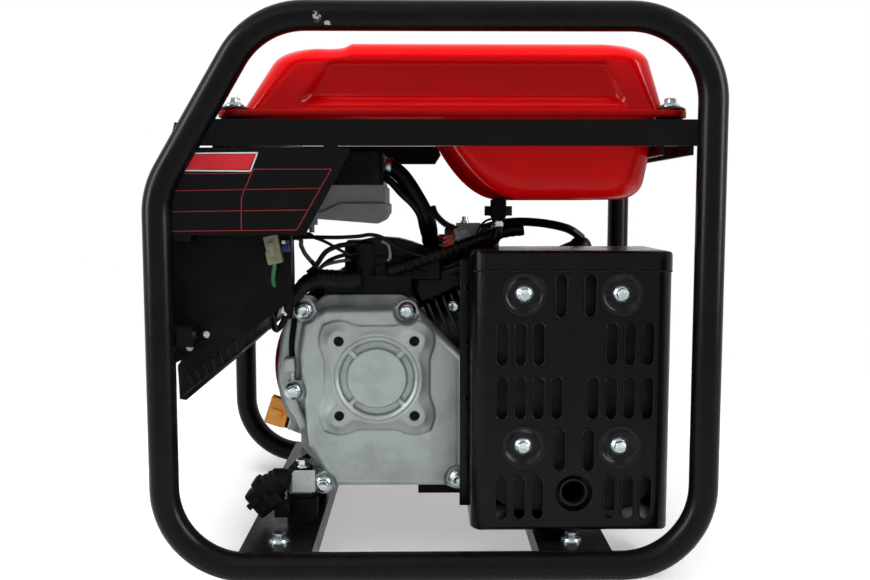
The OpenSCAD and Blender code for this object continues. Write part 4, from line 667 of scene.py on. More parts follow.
# Clamped corners: dark cup washers, zinc bolts
earX, earY = (-0.172, 0.204), 0.164
earTop, boltFoot = tank["seam"] + 0.0011, tank["seam"] + 0.0041
cup = [(0.0, 0.0128), (0.0008, 0.0132), (0.0016, 0.0128), (0.003, 0.0106), (0.0032, 0.007)]
places = [(x, y) for x in earX for y in (-earY, earY)]
addPiece("tankCupWashers", [turned(cup, (x, y, earTop), (0, 0, 1), 40) for x, y in places], steelDark)
heads = [
    hexHead((x, y, boltFoot), (0, 0, 1), 0.0098, 0.0062, 0.0172, 0.0016, 12 + 21 * i)
    for i, (x, y) in enumerate(places)
]
addPiece("tankCornerBolts", heads, zincPlate, sharp=28, replaces=("tank_bolts",))

# Fuel cap: rounded lid with ribs all round its edge and a raised bar to grip
a = roundAngles(192)
ribs = 0.5 + 0.5 * np.cos(24 * a)
capLow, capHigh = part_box("fuel_cap")
capR, capTop = (capHigh[0] - capLow[0]) / 2, capHigh[2]
capX, capY, capSkirt = (capHigh[0] + capLow[0]) / 2, (capHigh[1] + capLow[1]) / 2, capHigh[2] - 0.0185
rings = []
for up, r, rib in (
    (0.0, 0.88, 0.0), (0.0008, 0.93, 0.6), (0.0022, 0.955, 1.0), (0.013, 0.955, 1.0), (0.015, 0.945, 0.7),
    (0.0165, 0.9, 0.2), (0.0172, 0.84, 0.0), (0.0166, 0.7, 0.0), (0.016, 0.4, 0.0), (0.016, 0.1, 0.0)
):
    rr = capR * r + 0.0008 * rib * ribs
    rings.append(np.stack([
        capX + rr * np.cos(a), capY + rr * np.sin(a), np.full_like(a, capSkirt + up)
    ], -1))
bar = softBlock(
    (capX - capR * 0.74, capY - 0.0042, capSkirt + 0.012), (capX + capR * 0.74, capY + 0.0042, capTop),
    0.0022
)
addPiece(
    "fuelCapRibbed", [skinned(rings), bar], plasticBlack, body="fuel_cap", sharp=40,
    replaces=("fuel_cap",)
)
print("tank made")

# Blower housing: a scroll that opens out round the fan, and the duct over the cylinder
rotorLow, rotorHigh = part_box("rotor")
crankAt = ((rotorLow[0] + rotorHigh[0]) / 2, 0.0, (rotorLow[2] + rotorHigh[2]) / 2)
scroll = {
    "r": 0.116, "dip": 0.0145, "tongue": 118.0, "span": 85.0, "front": 0.004, "back": 0.104,
    "sheet": 0.0018, "eye": 0.07, "edge": 0.009
}


# Point of the unit circle in a direction
def pointAt(degrees):
    return np.array([math.cos(math.radians(degrees)), math.sin(math.radians(degrees))])


# Radius of the scroll in a direction given in degrees: shrinks by a squared cosine
# near the tongue, grows a little at the far end, then runs straight to the tongue's tip
def scrollRadius(deg):
    deg = np.asarray(deg, float)
    t = np.clip((deg - scroll["tongue"]) / scroll["span"], 0, 1)
    r = scroll["r"] - scroll["dip"] * np.cos(np.pi / 2 * t) ** 2 + 0.0025 * np.maximum(0, deg - 405) / 50
    end, start = 455.0, scroll["tongue"]
    p1 = 0.1185 * pointAt(end)
    p2 = (scroll["r"] - scroll["dip"]) * pointAt(start)
    d = p2 - p1
    cross = p1[0] * d[1] - p1[1] * d[0]
    way = np.radians(deg)
    line = cross / (np.cos(way) * d[1] - np.sin(way) * d[0] + 1e-9)
    return np.where(deg > end, line, r)


# Points round the crankshaft's axis, all at one Y
def roundCrank(r, way, y):
    return atY(np.stack([crankAt[0] + r * np.cos(way), crankAt[2] + r * np.sin(way)], -1), y)


deg = scroll["tongue"] + np.linspace(0, 360, 241)[:-1]
rOut = scrollRadius(deg)
e, s = scroll["edge"], scroll["sheet"]
q = np.linspace(0, np.pi / 2, 7)
# Section: (share of the way to the eye, step in from the wall, Y)
section = [
    (0.0, -0.0022, scroll["front"]), (0.0, -0.001, scroll["front"] - 0.0003),
    (0.0, 0.0, scroll["front"] + 0.0006), (0.0, 0.0, scroll["front"] + 0.004)
]
section += [(0.0, -e * (1 - math.cos(v)), scroll["back"] - e * (1 - math.sin(v))) for v in q]
section += [
    (f, -e * (1 - f), scroll["back"] - 0.0006 * math.sin(3.14 * f)) for f in (0.2, 0.45, 0.7, 0.9, 1.0)
]
section += [(1.0, 0.0, scroll["back"] - s)]
section += [(f, -(e + s) * (1 - f), scroll["back"] - s) for f in (0.7, 0.3)]
section += [
    (0.0, -e - s * 0.2, scroll["back"] - s), (0.0, -s, scroll["back"] - e),
    (0.0, -s, scroll["front"] + 0.004)
]
rings = []
way = np.radians(deg)
for f, off, y in section:
    r = (rOut + off) * (1 - f) + scroll["eye"] * f
    rings.append(roundCrank(r, way, y))
addPiece("scrollShell", skinned(rings, along=True), housingRed, sharp=50, replaces=("blower_housing",))

# Duct: a cup with a rounded rim over the cylinder, open towards the crankcase side
outline = np.array([
    (0.092, -0.054), (0.186, -0.054), (0.204, -0.03), (0.204, 0.024), (0.152, 0.05), (0.092, 0.05)
])


# Closed outline with each corner cut by a short curve, and resampled evenly
def softOutline(p, cut, count):
    before, after = np.roll(p, 1, axis=0), np.roll(p, -1, axis=0)
    a = p + (before - p) * np.minimum(0.45, cut / np.linalg.norm(before - p, axis=1))[:, None]
    b = p + (after - p) * np.minimum(0.45, cut / np.linalg.norm(after - p, axis=1))[:, None]
    t = np.linspace(0, 1, 7)[None, :, None]
    bends = ((1 - t) ** 2 * a[:, None] + 2 * t * (1 - t) * p[:, None] + t ** 2 * b[:, None]).reshape(-1, 2)
    closed = np.vstack([bends, bends[:1]])
    run = np.concatenate([[0], np.cumsum(np.linalg.norm(np.diff(closed, axis=0), axis=1))])
    at = np.linspace(0, run[-1], count, endpoint=False)
    return np.stack([np.interp(at, run, closed[:, 0]), np.interp(at, run, closed[:, 1])], -1)


# Outline given along and square to the cylinder's axis, as a ring of points at one Y
def ductRing(p, y):
    c, s = pointAt(23)
    return atY(np.stack([
        crankAt[0] + p[:, 0] * c - p[:, 1] * s, crankAt[2] + p[:, 0] * s + p[:, 1] * c
    ], -1), y)


base = softOutline(outline, 0.012, 160)
middle = np.array([0.148, -0.004])
rings = []
for y, grow in (
    (0.0145, -0.0018), (0.0145, -0.0002), (0.0155, 0.0), (0.058, 0.0), (0.0625, -0.0012),
    (0.0652, -0.004), (0.066, -0.0085), (0.066, -0.02), (0.0642, -0.02), (0.0642, -0.009),
    (0.0625, -0.0045), (0.058, -0.0018)
):
    size = np.linalg.norm(base - middle, axis=1)
    rings.append(ductRing(middle + (base - middle) * ((size + grow) / size)[:, None], y))
inner = [ductRing(middle + (base - middle) * 0.5, y) for y in (0.0642, 0.066)]
cup = rings[:8] + [inner[1], inner[0]] + rings[8:]
addPiece("cylinderDuct", skinned(cup, along=True), housingRed, sharp=50)
addPiece("cylinderDuctEnd", skinned(inner), housingRed, sharp=50)

# Hood in front of the fins: a curved sheet with a rolled lower lip, closed at the crankcase end
lipLine = through([
    (-0.0162, 0.2545), (-0.0155, 0.26), (-0.0128, 0.2642), (-0.0045, 0.2672), (0.011, 0.2708),
    (0.027, 0.2748), (0.038, 0.278)
], 40)
topLine = through([
    (-0.03, 0.27), (-0.028, 0.2765), (-0.022, 0.283), (-0.011, 0.2885), (0.006, 0.2935), (0.02, 0.2975),
    (0.033, 0.301)
], 40)
rows = []
for f, y, lift in (
    (0.0, -0.0795, 0.0), (0.0, -0.0812, 0.0006), (0.06, -0.0818, 0.0014), (0.3, -0.08, 0.0),
    (0.6, -0.0735, 0.0), (0.85, -0.064, 0.0), (1.0, -0.056, 0.0)
):
    rows.append(atY(lipLine * (1 - f) + topLine * f + [0, lift], y))
back = [r + np.array([0.0006, 0.0016, -0.0004]) for r in rows[::-1]]
sheet = np.stack(rows + back, 1)
addPiece("fanHood", skinned(sheet), guardBlack, sharp=40)
print("blower made")

# Crankcase cover as one surface: height in front of the bolting plane, worked out from distances in mm
cover = {
    "outline": [
        (-94.5, 74.5), (30.0, 74.5), (30.0, 197.0), (-11.0, 237.5), (-27.0, 243.8), (-101.0, 243.8),
        (-122.5, 232.0), (-126.5, 202.0), (-122.0, 150.0), (-118.0, 113.0)
    ],
    "bolts": [(-121.0, 241.5), (-25.0, 241.0), (-131.7, 165.4), (-104.4, 76.4), (22.5, 81.1)],
    "boss": 10.4, "pocket": 11.0, "domeRise": 8.0, "padRise": 7.0, "step": 0.62, "flangeY": -110.0,
    "backY": -98.4, "hole": 35.1, "holeR": 4.0, "face": 41.5, "lobe": 9.2, "skirtHalf": 50.0,
    "skirtLobe": 19.6, "skirtCap": 40.0, "fallRight": 48.5, "fallBelow": -53.0, "groove": 39.4,
    "bevel": (33.5, 39.0), "channelIn": (27.4, 28.6), "channelOut": (33.8, 35.2), "spoke": (2.0, 3.0),
    "hub": (27.2, 28.4)
}


# Distance inside a polygon, to its nearest side; negative where a line to the right crosses its sides
# an even number of times, which is outside
def insideOf(px, pz, corners):
    best, within = np.full(px.shape, 1e9), np.zeros(px.shape, bool)
    n = len(corners)
    for i in range(n):
        (ax, az), (bx, bz) = corners[i], corners[(i + 1) % n]
        t = np.clip(
            ((px - ax) * (bx - ax) + (pz - az) * (bz - az)) / ((bx - ax) ** 2 + (bz - az) ** 2), 0, 1
        )
        best = np.minimum(best, np.hypot(px - ax - t * (bx - ax), pz - az - t * (bz - az)))
        cross = (az > pz) != (bz > pz)
        at = ax + (pz - az) / np.where(bz == az, 1e-9, bz - az) * (bx - ax)
        within ^= cross & (px < at)
    return np.where(within, best, -best)


# Larger of two distances, blended over a width k
def blendMax(a, b, k):
    t = np.clip(0.5 + 0.5 * (a - b) / k, 0, 1)
    return b + (a - b) * t + k * t * (1 - t)


# Distance inside the cover's edge: that of its outline, with a round boss blended on at each bolt
def coverEdge(px, pz):
    d = insideOf(px, pz, cover["outline"])
    for bx, bz in cover["bolts"]:
        d = blendMax(d, cover["boss"] - np.hypot(px - bx, pz - bz), 5.0)
    return d


# Height in front of the bolting plane: a quarter round at the edge that runs up to a dome, falls off
# to the right and below and sinks into a pocket at each bolt; then a skirt that climbs to the output
# pad, and the pad's own face
def coverHeight(px, pz):
    c = cover
    u, v = px - crankAt[0] * 1000, pz - crankAt[2] * 1000
    inside = insideOf(px, pz, c["outline"])
    t = np.clip((inside - 0.3) / 5.5, 0, 1)
    dome = c["domeRise"] * np.sqrt(1 - (1 - t) ** 2)
    dome = dome - 0.17 * np.maximum(0, blendMax(u - c["fallRight"], 0.0, 3.0)) * t
    dome = dome - 0.05 * np.maximum(0, blendMax(c["fallBelow"] - v, 0.0, 2.0)) * t
    for bx, bz in c["bolts"]:
        dome = dome * rise(np.hypot(px - bx, pz - bz), c["pocket"] - 0.6, c["pocket"] + 2.2)
    r = np.hypot(u, v)
    lobes = c["lobe"] - np.hypot(np.abs(u) - c["hole"], np.abs(v) - c["hole"])
    face = blendMax(c["face"] - r, lobes, 12.0)
    square = c["skirtHalf"] - np.maximum(np.abs(u), np.abs(v))
    skirt = blendMax(np.minimum(square, c["skirtCap"]), lobes + c["skirtLobe"] - c["lobe"], 7.0)
    slope = np.clip(skirt / (np.maximum(skirt, 0) + np.maximum(-face, 0) + 1e-6), 0, 1) * (skirt > 0)
    h = np.maximum(dome, 0) + c["padRise"] * (
        0.26 * rise(slope, 0.0, 0.2) + 0.54 * slope ** 1.7 + 0.2 * slope
    )
    h = h + (c["domeRise"] + c["padRise"] - h) * (face > 0)
    h = h - 0.5 * rise(-np.abs(face - 0.4), -0.5, 0.0)
    # Thin groove, bevelled ring, deep channel crossed by four spokes, and the boss a little below the face
    h = h - 1.4 * rise(-np.abs(r - c["groove"]), -0.9, -0.2) - 2.6 * (1 - rise(r, *c["bevel"]))
    spoke = np.minimum(np.abs(u - v), np.abs(u + v)) / math.sqrt(2)
    channel = rise(r, *c["channelIn"]) * (1 - rise(r, *c["channelOut"]))
    h = h - 4.4 * channel * rise(spoke, *c["spoke"]) + 1.6 * (1 - rise(r, *c["hub"]))
    hole = np.hypot(np.abs(u) - c["hole"], np.abs(v) - c["hole"])
    return h - 1.6 * (1 - rise(hole, 4.1, 5.0)) - 3.0 * (hole < c["holeR"] + 0.4)


# Grid over the bolting plane: points just outside are pulled on to the edge, so that the outline is
# clean; then a wall runs back from the edge, and a flat back closes it
def makeCover():
    ax, az = np.arange(-144.0, 34.5, cover["step"]), np.arange(62.0, 256.0, cover["step"])
    px, pz = np.meshgrid(ax, az, indexing="ij")
    d = coverEdge(px, pz)
    gx = (coverEdge(px + 0.05, pz) - coverEdge(px - 0.05, pz)) / 0.1
    gz = (coverEdge(px, pz + 0.05) - coverEdge(px, pz - 0.05)) / 0.1
    size = np.maximum(np.hypot(gx, gz), 0.2)
    pull = (d < 0) & (d > -2.2 * cover["step"])
    px = np.where(pull, px - gx / size * d / size, px)
    pz = np.where(pull, pz - gz / size * d / size, pz)
    keep, core = d > -2.2 * cover["step"], d > 0
    n = az.size
    i, j = np.meshgrid(np.arange(ax.size - 1), np.arange(n - 1), indexing="ij")
    quads = np.stack([i * n + j, (i + 1) * n + j, (i + 1) * n + j + 1, i * n + j + 1], -1).reshape(-1, 4)
    quads = quads[keep.ravel()[quads].all(1) & core.ravel()[quads].any(1)]
    used = np.unique(quads)
    py = cover["flangeY"] - coverHeight(px, pz)
    points = np.stack([px.ravel(), py.ravel(), pz.ravel()], -1)[used] / 1000
    mesh = bpy.data.meshes.new("castCoverMesh")
    mesh.from_pydata(points, [], np.searchsorted(used, quads).tolist())
    bm = bmesh.new()
    bm.from_mesh(mesh)
    bmesh.ops.remove_doubles(bm, verts=bm.verts, dist=2e-5)
    wall = bmesh.ops.extrude_edge_only(bm, edges=[e for e in bm.edges if e.is_boundary])
    for vert in [g for g in wall["geom"] if isinstance(g, bmesh.types.BMVert)]:
        vert.co.y = cover["backY"] / 1000
    bmesh.ops.contextual_create(bm, geom=[e for e in bm.edges if e.is_boundary])
    bmesh.ops.recalc_face_normals(bm, faces=bm.faces)
    bm.to_mesh(mesh)
    bm.free()
    shadeSmooth(mesh, 70)
    placeMesh("castCover", mesh, castAluminium, replaces=("crankcase_cover",))
    print("cover made", len(mesh.polygons))


makeCover()

# Hoses, leads and looms
intake = tube([
    (-0.0465, -0.068, 0.3762), (-0.04, -0.068, 0.3752), (-0.029, -0.069, 0.366), (-0.017, -0.07, 0.348),
    (-0.0075, -0.068, 0.33), (-0.0035, -0.058, 0.315), (-0.003, -0.042, 0.3035), (0.003, -0.028, 0.301),
    (0.0118, -0.025, 0.301)
], 0.0079, 90, 24)
addPiece("intakeHoseSmooth", intake, hoseBlack, replaces=("intake_hose",))
addPiece("breatherHose", tube([
    (-0.047, -0.078, 0.366), (-0.04, -0.079, 0.361), (-0.03, -0.079, 0.35), (-0.02, -0.077, 0.3405),
    (-0.013, -0.074, 0.33), (-0.01, -0.066, 0.317), (-0.006, -0.054, 0.308), (0.01, -0.044, 0.303)
], 0.0036, 60, 14), hoseBlack)
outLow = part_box("fuel_outlet")[0]
addPiece("fuelHoseSmooth", tube([
    (0.061, -0.096, outLow[2] + 0.004), (0.061, -0.096, 0.312), (0.0565, -0.09, 0.305),
    (0.047, -0.07, 0.3), (0.0385, -0.055, 0.2925), (0.036, -0.046, 0.291)
], 0.0042, 60, 16), hoseBlack, replaces=("fuel_hose",))

# Hose clamps: a band with a screw block
clamps = []
for at, axis, r in (
    ((-0.0435, -0.068, 0.3758), (1, 0, -0.12), 0.0086), ((0.0085, -0.0257, 0.301), (1, 0.2, 0), 0.0086),
    ((0.061, -0.096, outLow[2] + 0.0015), (0, 0, 1), 0.005)
):
    clamps.append(turned([
        (-0.003, r - 0.0006), (-0.0028, r + 0.0003), (0.0028, r + 0.0003), (0.003, r - 0.0006)
    ], at, axis, 36))
    top = np.array(at) + np.array([0, -r - 0.0012, 0])
    clamps.append(softBlock(top - [0.0032, 0.0022, 0.003], top + [0.0032, 0.0018, 0.003], 0.0008))
addPiece("hoseClamps", clamps, zincPlate, sharp=40)

# Corrugated loom: the tube's radius rises and falls along its length
path = through([
    (-0.001, -0.084, 0.3375), (0.0006, -0.086, 0.3328), (0.0058, -0.088, 0.3262), (0.013, -0.089, 0.3205),
    (0.0235, -0.09, 0.316)
], 120)
wave = 0.0031 + 0.0005 * np.cos(np.linspace(0, 2 * np.pi * 17, 120))
addPiece("corrugatedLoom", skinned(tubeRings(path, wave, 16)), plasticBlack, sharp=60)

# Taped main bundle from beneath the fuel outlet to the ignition unit: overlapped tape wraps
path = through([
    (0.086, -0.086, 0.3165), (0.0666, -0.086, 0.314), (0.0427, -0.087, 0.306), (0.0236, -0.089, 0.299),
    (0.0063, -0.091, 0.293), (-0.0148, -0.094, 0.2865), (-0.03, -0.097, 0.281), (-0.044, -0.1, 0.278)
], 150)
ramp = np.mod(np.linspace(0, 22, 150), 1.0)
addPiece(
    "tapedBundle", skinned(tubeRings(path, 0.0058 + 0.0006 * ramp, 18)), hoseBlack, sharp=60,
    replaces=("wiring_harness",)
)

leads = {
    "overWire": (0.0019, hoseBlack, [
        (-0.172, -0.1, 0.307), (-0.1342, -0.104, 0.3088), (-0.1155, -0.106, 0.3097),
        (-0.09, -0.106, 0.3094), (-0.07, -0.104, 0.3104), (-0.0595, -0.103, 0.3118),
        (-0.0483, -0.103, 0.3092), (-0.0334, -0.102, 0.3), (-0.0184, -0.1, 0.294), (-0.0034, -0.096, 0.29)
    ]),
    "crossWire": (0.0015, hoseBlack, [
        (-0.172, -0.108, 0.3), (-0.1225, -0.108, 0.3127), (-0.11, -0.109, 0.309),
        (-0.1003, -0.109, 0.3052), (-0.0873, -0.108, 0.2978), (-0.078, -0.104, 0.2922),
        (-0.074, -0.097, 0.288)
    ]),
    "downWire": (0.0021, wireGrey, [
        (-0.172, -0.1, 0.304), (-0.1292, -0.1, 0.3087), (-0.124, -0.102, 0.301), (-0.12, -0.104, 0.2936),
        (-0.1107, -0.104, 0.2823), (-0.106, -0.1, 0.274)
    ]),
    "archWire": (0.0024, hoseBlack, [
        (-0.118, -0.106, 0.276), (-0.1107, -0.105, 0.2823), (-0.1012, -0.104, 0.2955),
        (-0.0898, -0.102, 0.3011), (-0.08, -0.1, 0.3026), (-0.0729, -0.095, 0.303)
    ]),
    "midWire": (0.0019, hoseBlack, [
        (-0.116, -0.1, 0.274), (-0.1093, -0.1, 0.2783), (-0.0979, -0.1, 0.2877),
        (-0.0846, -0.098, 0.2924), (-0.0733, -0.094, 0.2934)
    ]),
    "lowWire": (0.0017, wireGrey, [
        (-0.12, -0.103, 0.2725), (-0.1124, -0.103, 0.2768), (-0.102, -0.103, 0.2834),
        (-0.0917, -0.102, 0.2862), (-0.0785, -0.096, 0.2881)
    ]),
    "archOne": (0.0011, hoseBlack, [
        (0.0405, -0.089, 0.3075), (0.0422, -0.092, 0.3159), (0.0479, -0.093, 0.3234),
        (0.0554, -0.093, 0.3263), (0.062, -0.092, 0.324), (0.0672, -0.09, 0.316)
    ]),
    "archTwo": (0.0011, hoseBlack, [
        (0.0415, -0.089, 0.306), (0.0432, -0.092, 0.3121), (0.0488, -0.094, 0.3187),
        (0.0564, -0.094, 0.3215), (0.063, -0.092, 0.318), (0.0672, -0.089, 0.313)
    ]),
    "greenWire": (0.0019, wireGreen, [
        (-0.1382, -0.172, 0.293), (-0.1384, -0.172, 0.288), (-0.1392, -0.171, 0.2822),
        (-0.1402, -0.169, 0.275), (-0.1395, -0.163, 0.269), (-0.137, -0.15, 0.265)
    ]),
    "leftSleeve": (0.005, plasticBlack, [
        (-0.1335, -0.118, 0.3075), (-0.1332, -0.12, 0.299), (-0.133, -0.12, 0.2869),
        (-0.133, -0.12, 0.274), (-0.1335, -0.119, 0.262), (-0.1348, -0.116, 0.248),
        (-0.1368, -0.11, 0.236)
    ]),
    "sensorLead": (0.0027, hoseBlack, [
        (-0.1345, -0.112, 0.248), (-0.139, -0.112, 0.2345), (-0.1435, -0.111, 0.2262),
        (-0.1478, -0.11, 0.2235), (-0.1502, -0.108, 0.228), (-0.149, -0.104, 0.239),
        (-0.144, -0.098, 0.25)
    ]),
}
for name, (r, material, points) in leads.items():
    addPiece(name, tube(points, r, 70, 12), material)

# Cable ties round the bundles, and the small connectors on them
tieHalf = 0.0012
ties = [
    turned([
        (-tieHalf, r - 0.0005), (-tieHalf, r + 0.0004), (tieHalf, r + 0.0004), (tieHalf, r - 0.0005)
    ], at, axis, 24)
    for at, axis, r in (
        ((-0.1107, -0.1035, 0.2823), (1, 0, 0.6), 0.0062), ((0.0236, -0.089, 0.299), (1, 0, 0.4), 0.007),
        ((0.052, -0.0868, 0.3092), (1, 0, 0.3), 0.007), ((-0.022, -0.0955, 0.2838), (1, 0, 0.3), 0.007)
    )
]
ties += [
    softBlock(np.array(c) - 0.0022, np.array(c) + 0.0022, 0.0006)
    for c in ((-0.1107, -0.111, 0.283), (0.0236, -0.097, 0.2995), (0.052, -0.0945, 0.3095))
]
addPiece("cableTies", ties, plasticBlack)
tilt = turnY(-20)
blocks = [
    softBlock((0.02, -0.0965, 0.3085), (0.0345, -0.0835, 0.3195), 0.0014, tilt),
    softBlock((0.0225, -0.0985, 0.311), (0.0325, -0.096, 0.317), 0.0008, tilt)
]
addPiece("loomConnector", blocks, plasticGrey, sharp=40)
terminals = [
    softBlock((0.0085, -0.093, z), (0.019, -0.09, z + 0.0022), 0.0006, tilt)
    for z in (0.3, 0.3042, 0.3084)
]
addPiece("loomTerminals", terminals, plasticRed, sharp=40)
addPiece("loopTerminal", [
    softBlock((-0.142, -0.118, 0.2395), (-0.1385, -0.1165, 0.247), 0.0005),
    softBlock((-0.1392, -0.1175, 0.2372), (-0.1362, -0.116, 0.2425), 0.0005)
], zincPlate, sharp=40)
addPiece("unitTag", softBlock((-0.0812, -0.0985, 0.2685), (-0.07, -0.0965, 0.2785), 0.0005), tagGrey)
tilt = turnY(-12)
cream = [
    softBlock((-0.1462, -0.1762, 0.2995), (-0.1342, -0.1655, 0.314), 0.0012, tilt),
    softBlock((-0.1448, -0.1768, 0.289), (-0.1318, -0.165, 0.301), 0.0012, tilt),
    softBlock((-0.1425, -0.1778, 0.2955), (-0.1375, -0.176, 0.308), 0.0006, tilt)
]
addPiece("creamConnector", cream, plasticCream, sharp=40, replaces=("harness_connectors",))
addPiece("blueConnector", [
    softBlock((-0.1318, -0.17, 0.3045), (-0.1262, -0.162, 0.3095), 0.0007),
    softBlock((-0.133, -0.1712, 0.299), (-0.1255, -0.161, 0.305), 0.0007)
], plasticBlue)
addPiece("connectorTab", softBlock((-0.1322, -0.1722, 0.3062), (-0.129, -0.17, 0.3092), 0.0005), labelWhite)

# Loom taped into a thick drop that hangs beside the crankcase
path = through([
    (-0.07, -0.104, 0.27), (-0.083, -0.107, 0.269), (-0.0965, -0.109, 0.2702), (-0.1076, -0.111, 0.2708),
    (-0.118, -0.112, 0.267), (-0.1262, -0.113, 0.258), (-0.1325, -0.113, 0.246)
], 110)
ramp = np.mod(np.linspace(0, 15, 110), 1.0)
thick = np.interp(np.linspace(0, 1, 110), (0, 0.5, 0.8, 1), (0.01, 0.0088, 0.0066, 0.0042))
addPiece("tapedDrop", skinned(tubeRings(path, thick + 0.0006 * ramp, 20)), hoseBlack, sharp=60)

# Moulded cover over the coil: its top falls to the right, with two raised beads on its front
profile = np.array([
    (-0.074, 0.2678), (-0.074, 0.303), (-0.069, 0.3062), (-0.06, 0.308), (-0.0463, 0.309),
    (-0.033, 0.308), (-0.02, 0.3045), (-0.0081, 0.2998), (0.004, 0.2935), (0.0075, 0.289),
    (0.0075, 0.2678)
])
middle = profile.mean(0)
rings = []
for y, inset in (
    (-0.0905, 0.0022), (-0.0912, 0.001), (-0.0905, 0.0003), (-0.089, 0.0), (-0.064, 0.0), (-0.062, 0.001)
):
    rings.append(atY(middle + (profile - middle) * (1 - inset / 0.02), y))
beads = [
    tube([(-0.069, -0.0908, z), (-0.04, -0.0912, z + 0.004), (-0.006, -0.0908, z - 0.004)], 0.0011, 24, 8)
    for z in (0.279, 0.287)
]
addPiece("coilCover", [skinned(rings)] + beads, plasticBlack, sharp=40)

# Sealed sensor plug beside the engine's foot: square mouth to the lower left, ribbed boot to the
# upper right
tilt = turnY(52)
at = np.array([-0.1595, -0.114, 0.07])
plug = [
    softBlock(at - [0.0138, 0.012, 0.0185], at + [0.0138, 0.012, 0.008], 0.003, tilt),
    softBlock(at - [0.0152, 0.0134, 0.004], at + [0.0152, 0.0134, 0.003], 0.002, tilt),
    softBlock(at + [-0.012, -0.014, -0.015], at + [-0.006, -0.0115, -0.002], 0.001, tilt),
    softBlock((-0.15, -0.124, 0.047), (-0.136, -0.106, 0.06), 0.0016)
]
axis = tilt @ np.array([0, 0, 1.0])
plug.append(turned([
    (0.004, 0.0128), (0.009, 0.0132), (0.012, 0.0118), (0.0145, 0.0128), (0.017, 0.0114), (0.0195, 0.012),
    (0.025, 0.008), (0.029, 0.0042)
], at, axis, 36))
addPiece("sealedPlug", plug, rubberBlack, sharp=45)
addPiece("plugLead", tube([
    at + axis * 0.026, at + axis * 0.031 + [0, 0.002, 0.001], (-0.133, -0.1, 0.0915),
    (-0.128, -0.09, 0.093), (-0.12, -0.08, 0.096)
], 0.003, 50, 12), hoseBlack)
print("hoses and leads made")

# Oil cap: seal, knurled wheel and wing grip on the filler's tilted axis
filler = {"at": np.array([-0.129, -0.074, 0.13]), "axis": np.array([-0.947768, 0.0, 0.318959]), "r": 0.014}
capAt = filler["at"] + 0.0065 * filler["axis"]
a = roundAngles(216)
knurl = 0.5 + 0.5 * np.cos(36 * a)
k, yDir = unit(filler["axis"]), np.array([0.0, 1.0, 0.0])
zDir = np.cross(k, yDir)
circle = np.sin(a)[:, None] * yDir - np.cos(a)[:, None] * zDir
# Rings of the wheel: (along the axis, share of its radius, depth of the knurl)
rings = []
for h, share, depth in (
    (0.0068, 0.8, 0), (0.0069, 0.96, 0), (0.0074, 1.0, 0.5), (0.0082, 1.0, 1), (0.01, 1.0, 1),
    (0.0106, 0.985, 0.5), (0.011, 0.93, 0), (0.0111, 0.6, 0), (0.0111, 0.2, 0)
):
    r = filler["r"] * share - 0.0006 * depth * (1 - knurl)
    rings.append(capAt + h * k + r[:, None] * circle)
wheel = skinned(rings)


# Block whose long side lies across the filler's axis: (low, high) along the axis, half its width
# across and half its thickness in Y
def onFiller(along, across, thick, r, middle=0.0):
    points, faces = softBlock((-across, -thick, along[0]), (across, thick, along[1]), r)
    return capAt + points[:, :1] * zDir + (points[:, 1:2] + middle) * yDir + points[:, 2:] * k, faces


wing = [onFiller((0.01, 0.0262), 0.0128, 0.0036, 0.0026)]
for side in (-1, 1):
    wing += [onFiller((0.01, 0.028), 0.0138, 0.0012, 0.001, side * 0.004)]
    wing += [onFiller((0.013, 0.0248), 0.003, 0.0012, 0.001, side * 0.0052)]
seal = turned([(0.0043, 0.012), (0.0046, 0.013), (0.0058, 0.0133), (0.0067, 0.0128)], capAt, k, 48)
addPiece(
    "oilCapWheel", [wheel] + wing, plasticOrange, body="dipstick_cap", sharp=42,
    replaces=("dipstick_cap",)
)
addPiece("oilCapSeal", seal, rubberBlack, body="dipstick_cap")
neck = [
    (-0.034, 0.0), (-0.034, 0.017), (-0.02, 0.016), (-0.006, 0.0142), (0.007, 0.0136), (0.0098, 0.014),
    (0.0106, 0.0134), (0.0106, 0.01), (-0.01, 0.0098), (-0.01, 0.0)
]
addPiece("oilFillerNeck", turned(neck, filler["at"], k, 56), castAluminium, sharp=50)

# Front bolts of the cover and the guard, with washer faces and dished tops
bolt = {"across": 0.01, "height": 0.0066, "flange": 0.017, "flangeT": 0.0016, "foot": 0.007}


# Bolt head that faces the front, its washer set back from its node's foremost Y
def frontHead(x, z, frontY, turn):
    at = (x, frontY + bolt["foot"], z)
    return hexHead(at, (0, -1, 0), bolt["across"], bolt["height"], bolt["flange"], bolt["flangeT"], turn)


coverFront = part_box("cover_bolts")[0][1]
heads = [frontHead(x / 1000, z / 1000, coverFront, 9 + 23 * i) for i, (x, z) in enumerate(cover["bolts"])]
addPiece("coverBoltHeads", heads, zincPlate, sharp=28, replaces=("cover_bolts",))
boltLow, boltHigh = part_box("guard_bolts")
flangeR = bolt["flange"] / 2
guardBolts = [
    (x, z) for x in (boltLow[0] + flangeR, boltHigh[0] - flangeR)
    for z in (boltLow[2] + flangeR, boltHigh[2] - flangeR)
]
heads = [frontHead(x, z, boltLow[1], 17 * (i // 2) + 31 * (i % 2)) for i, (x, z) in enumerate(guardBolts)]
addPiece("guardBoltHeads", heads, zincPlate, sharp=28, replaces=("guard_bolts",))

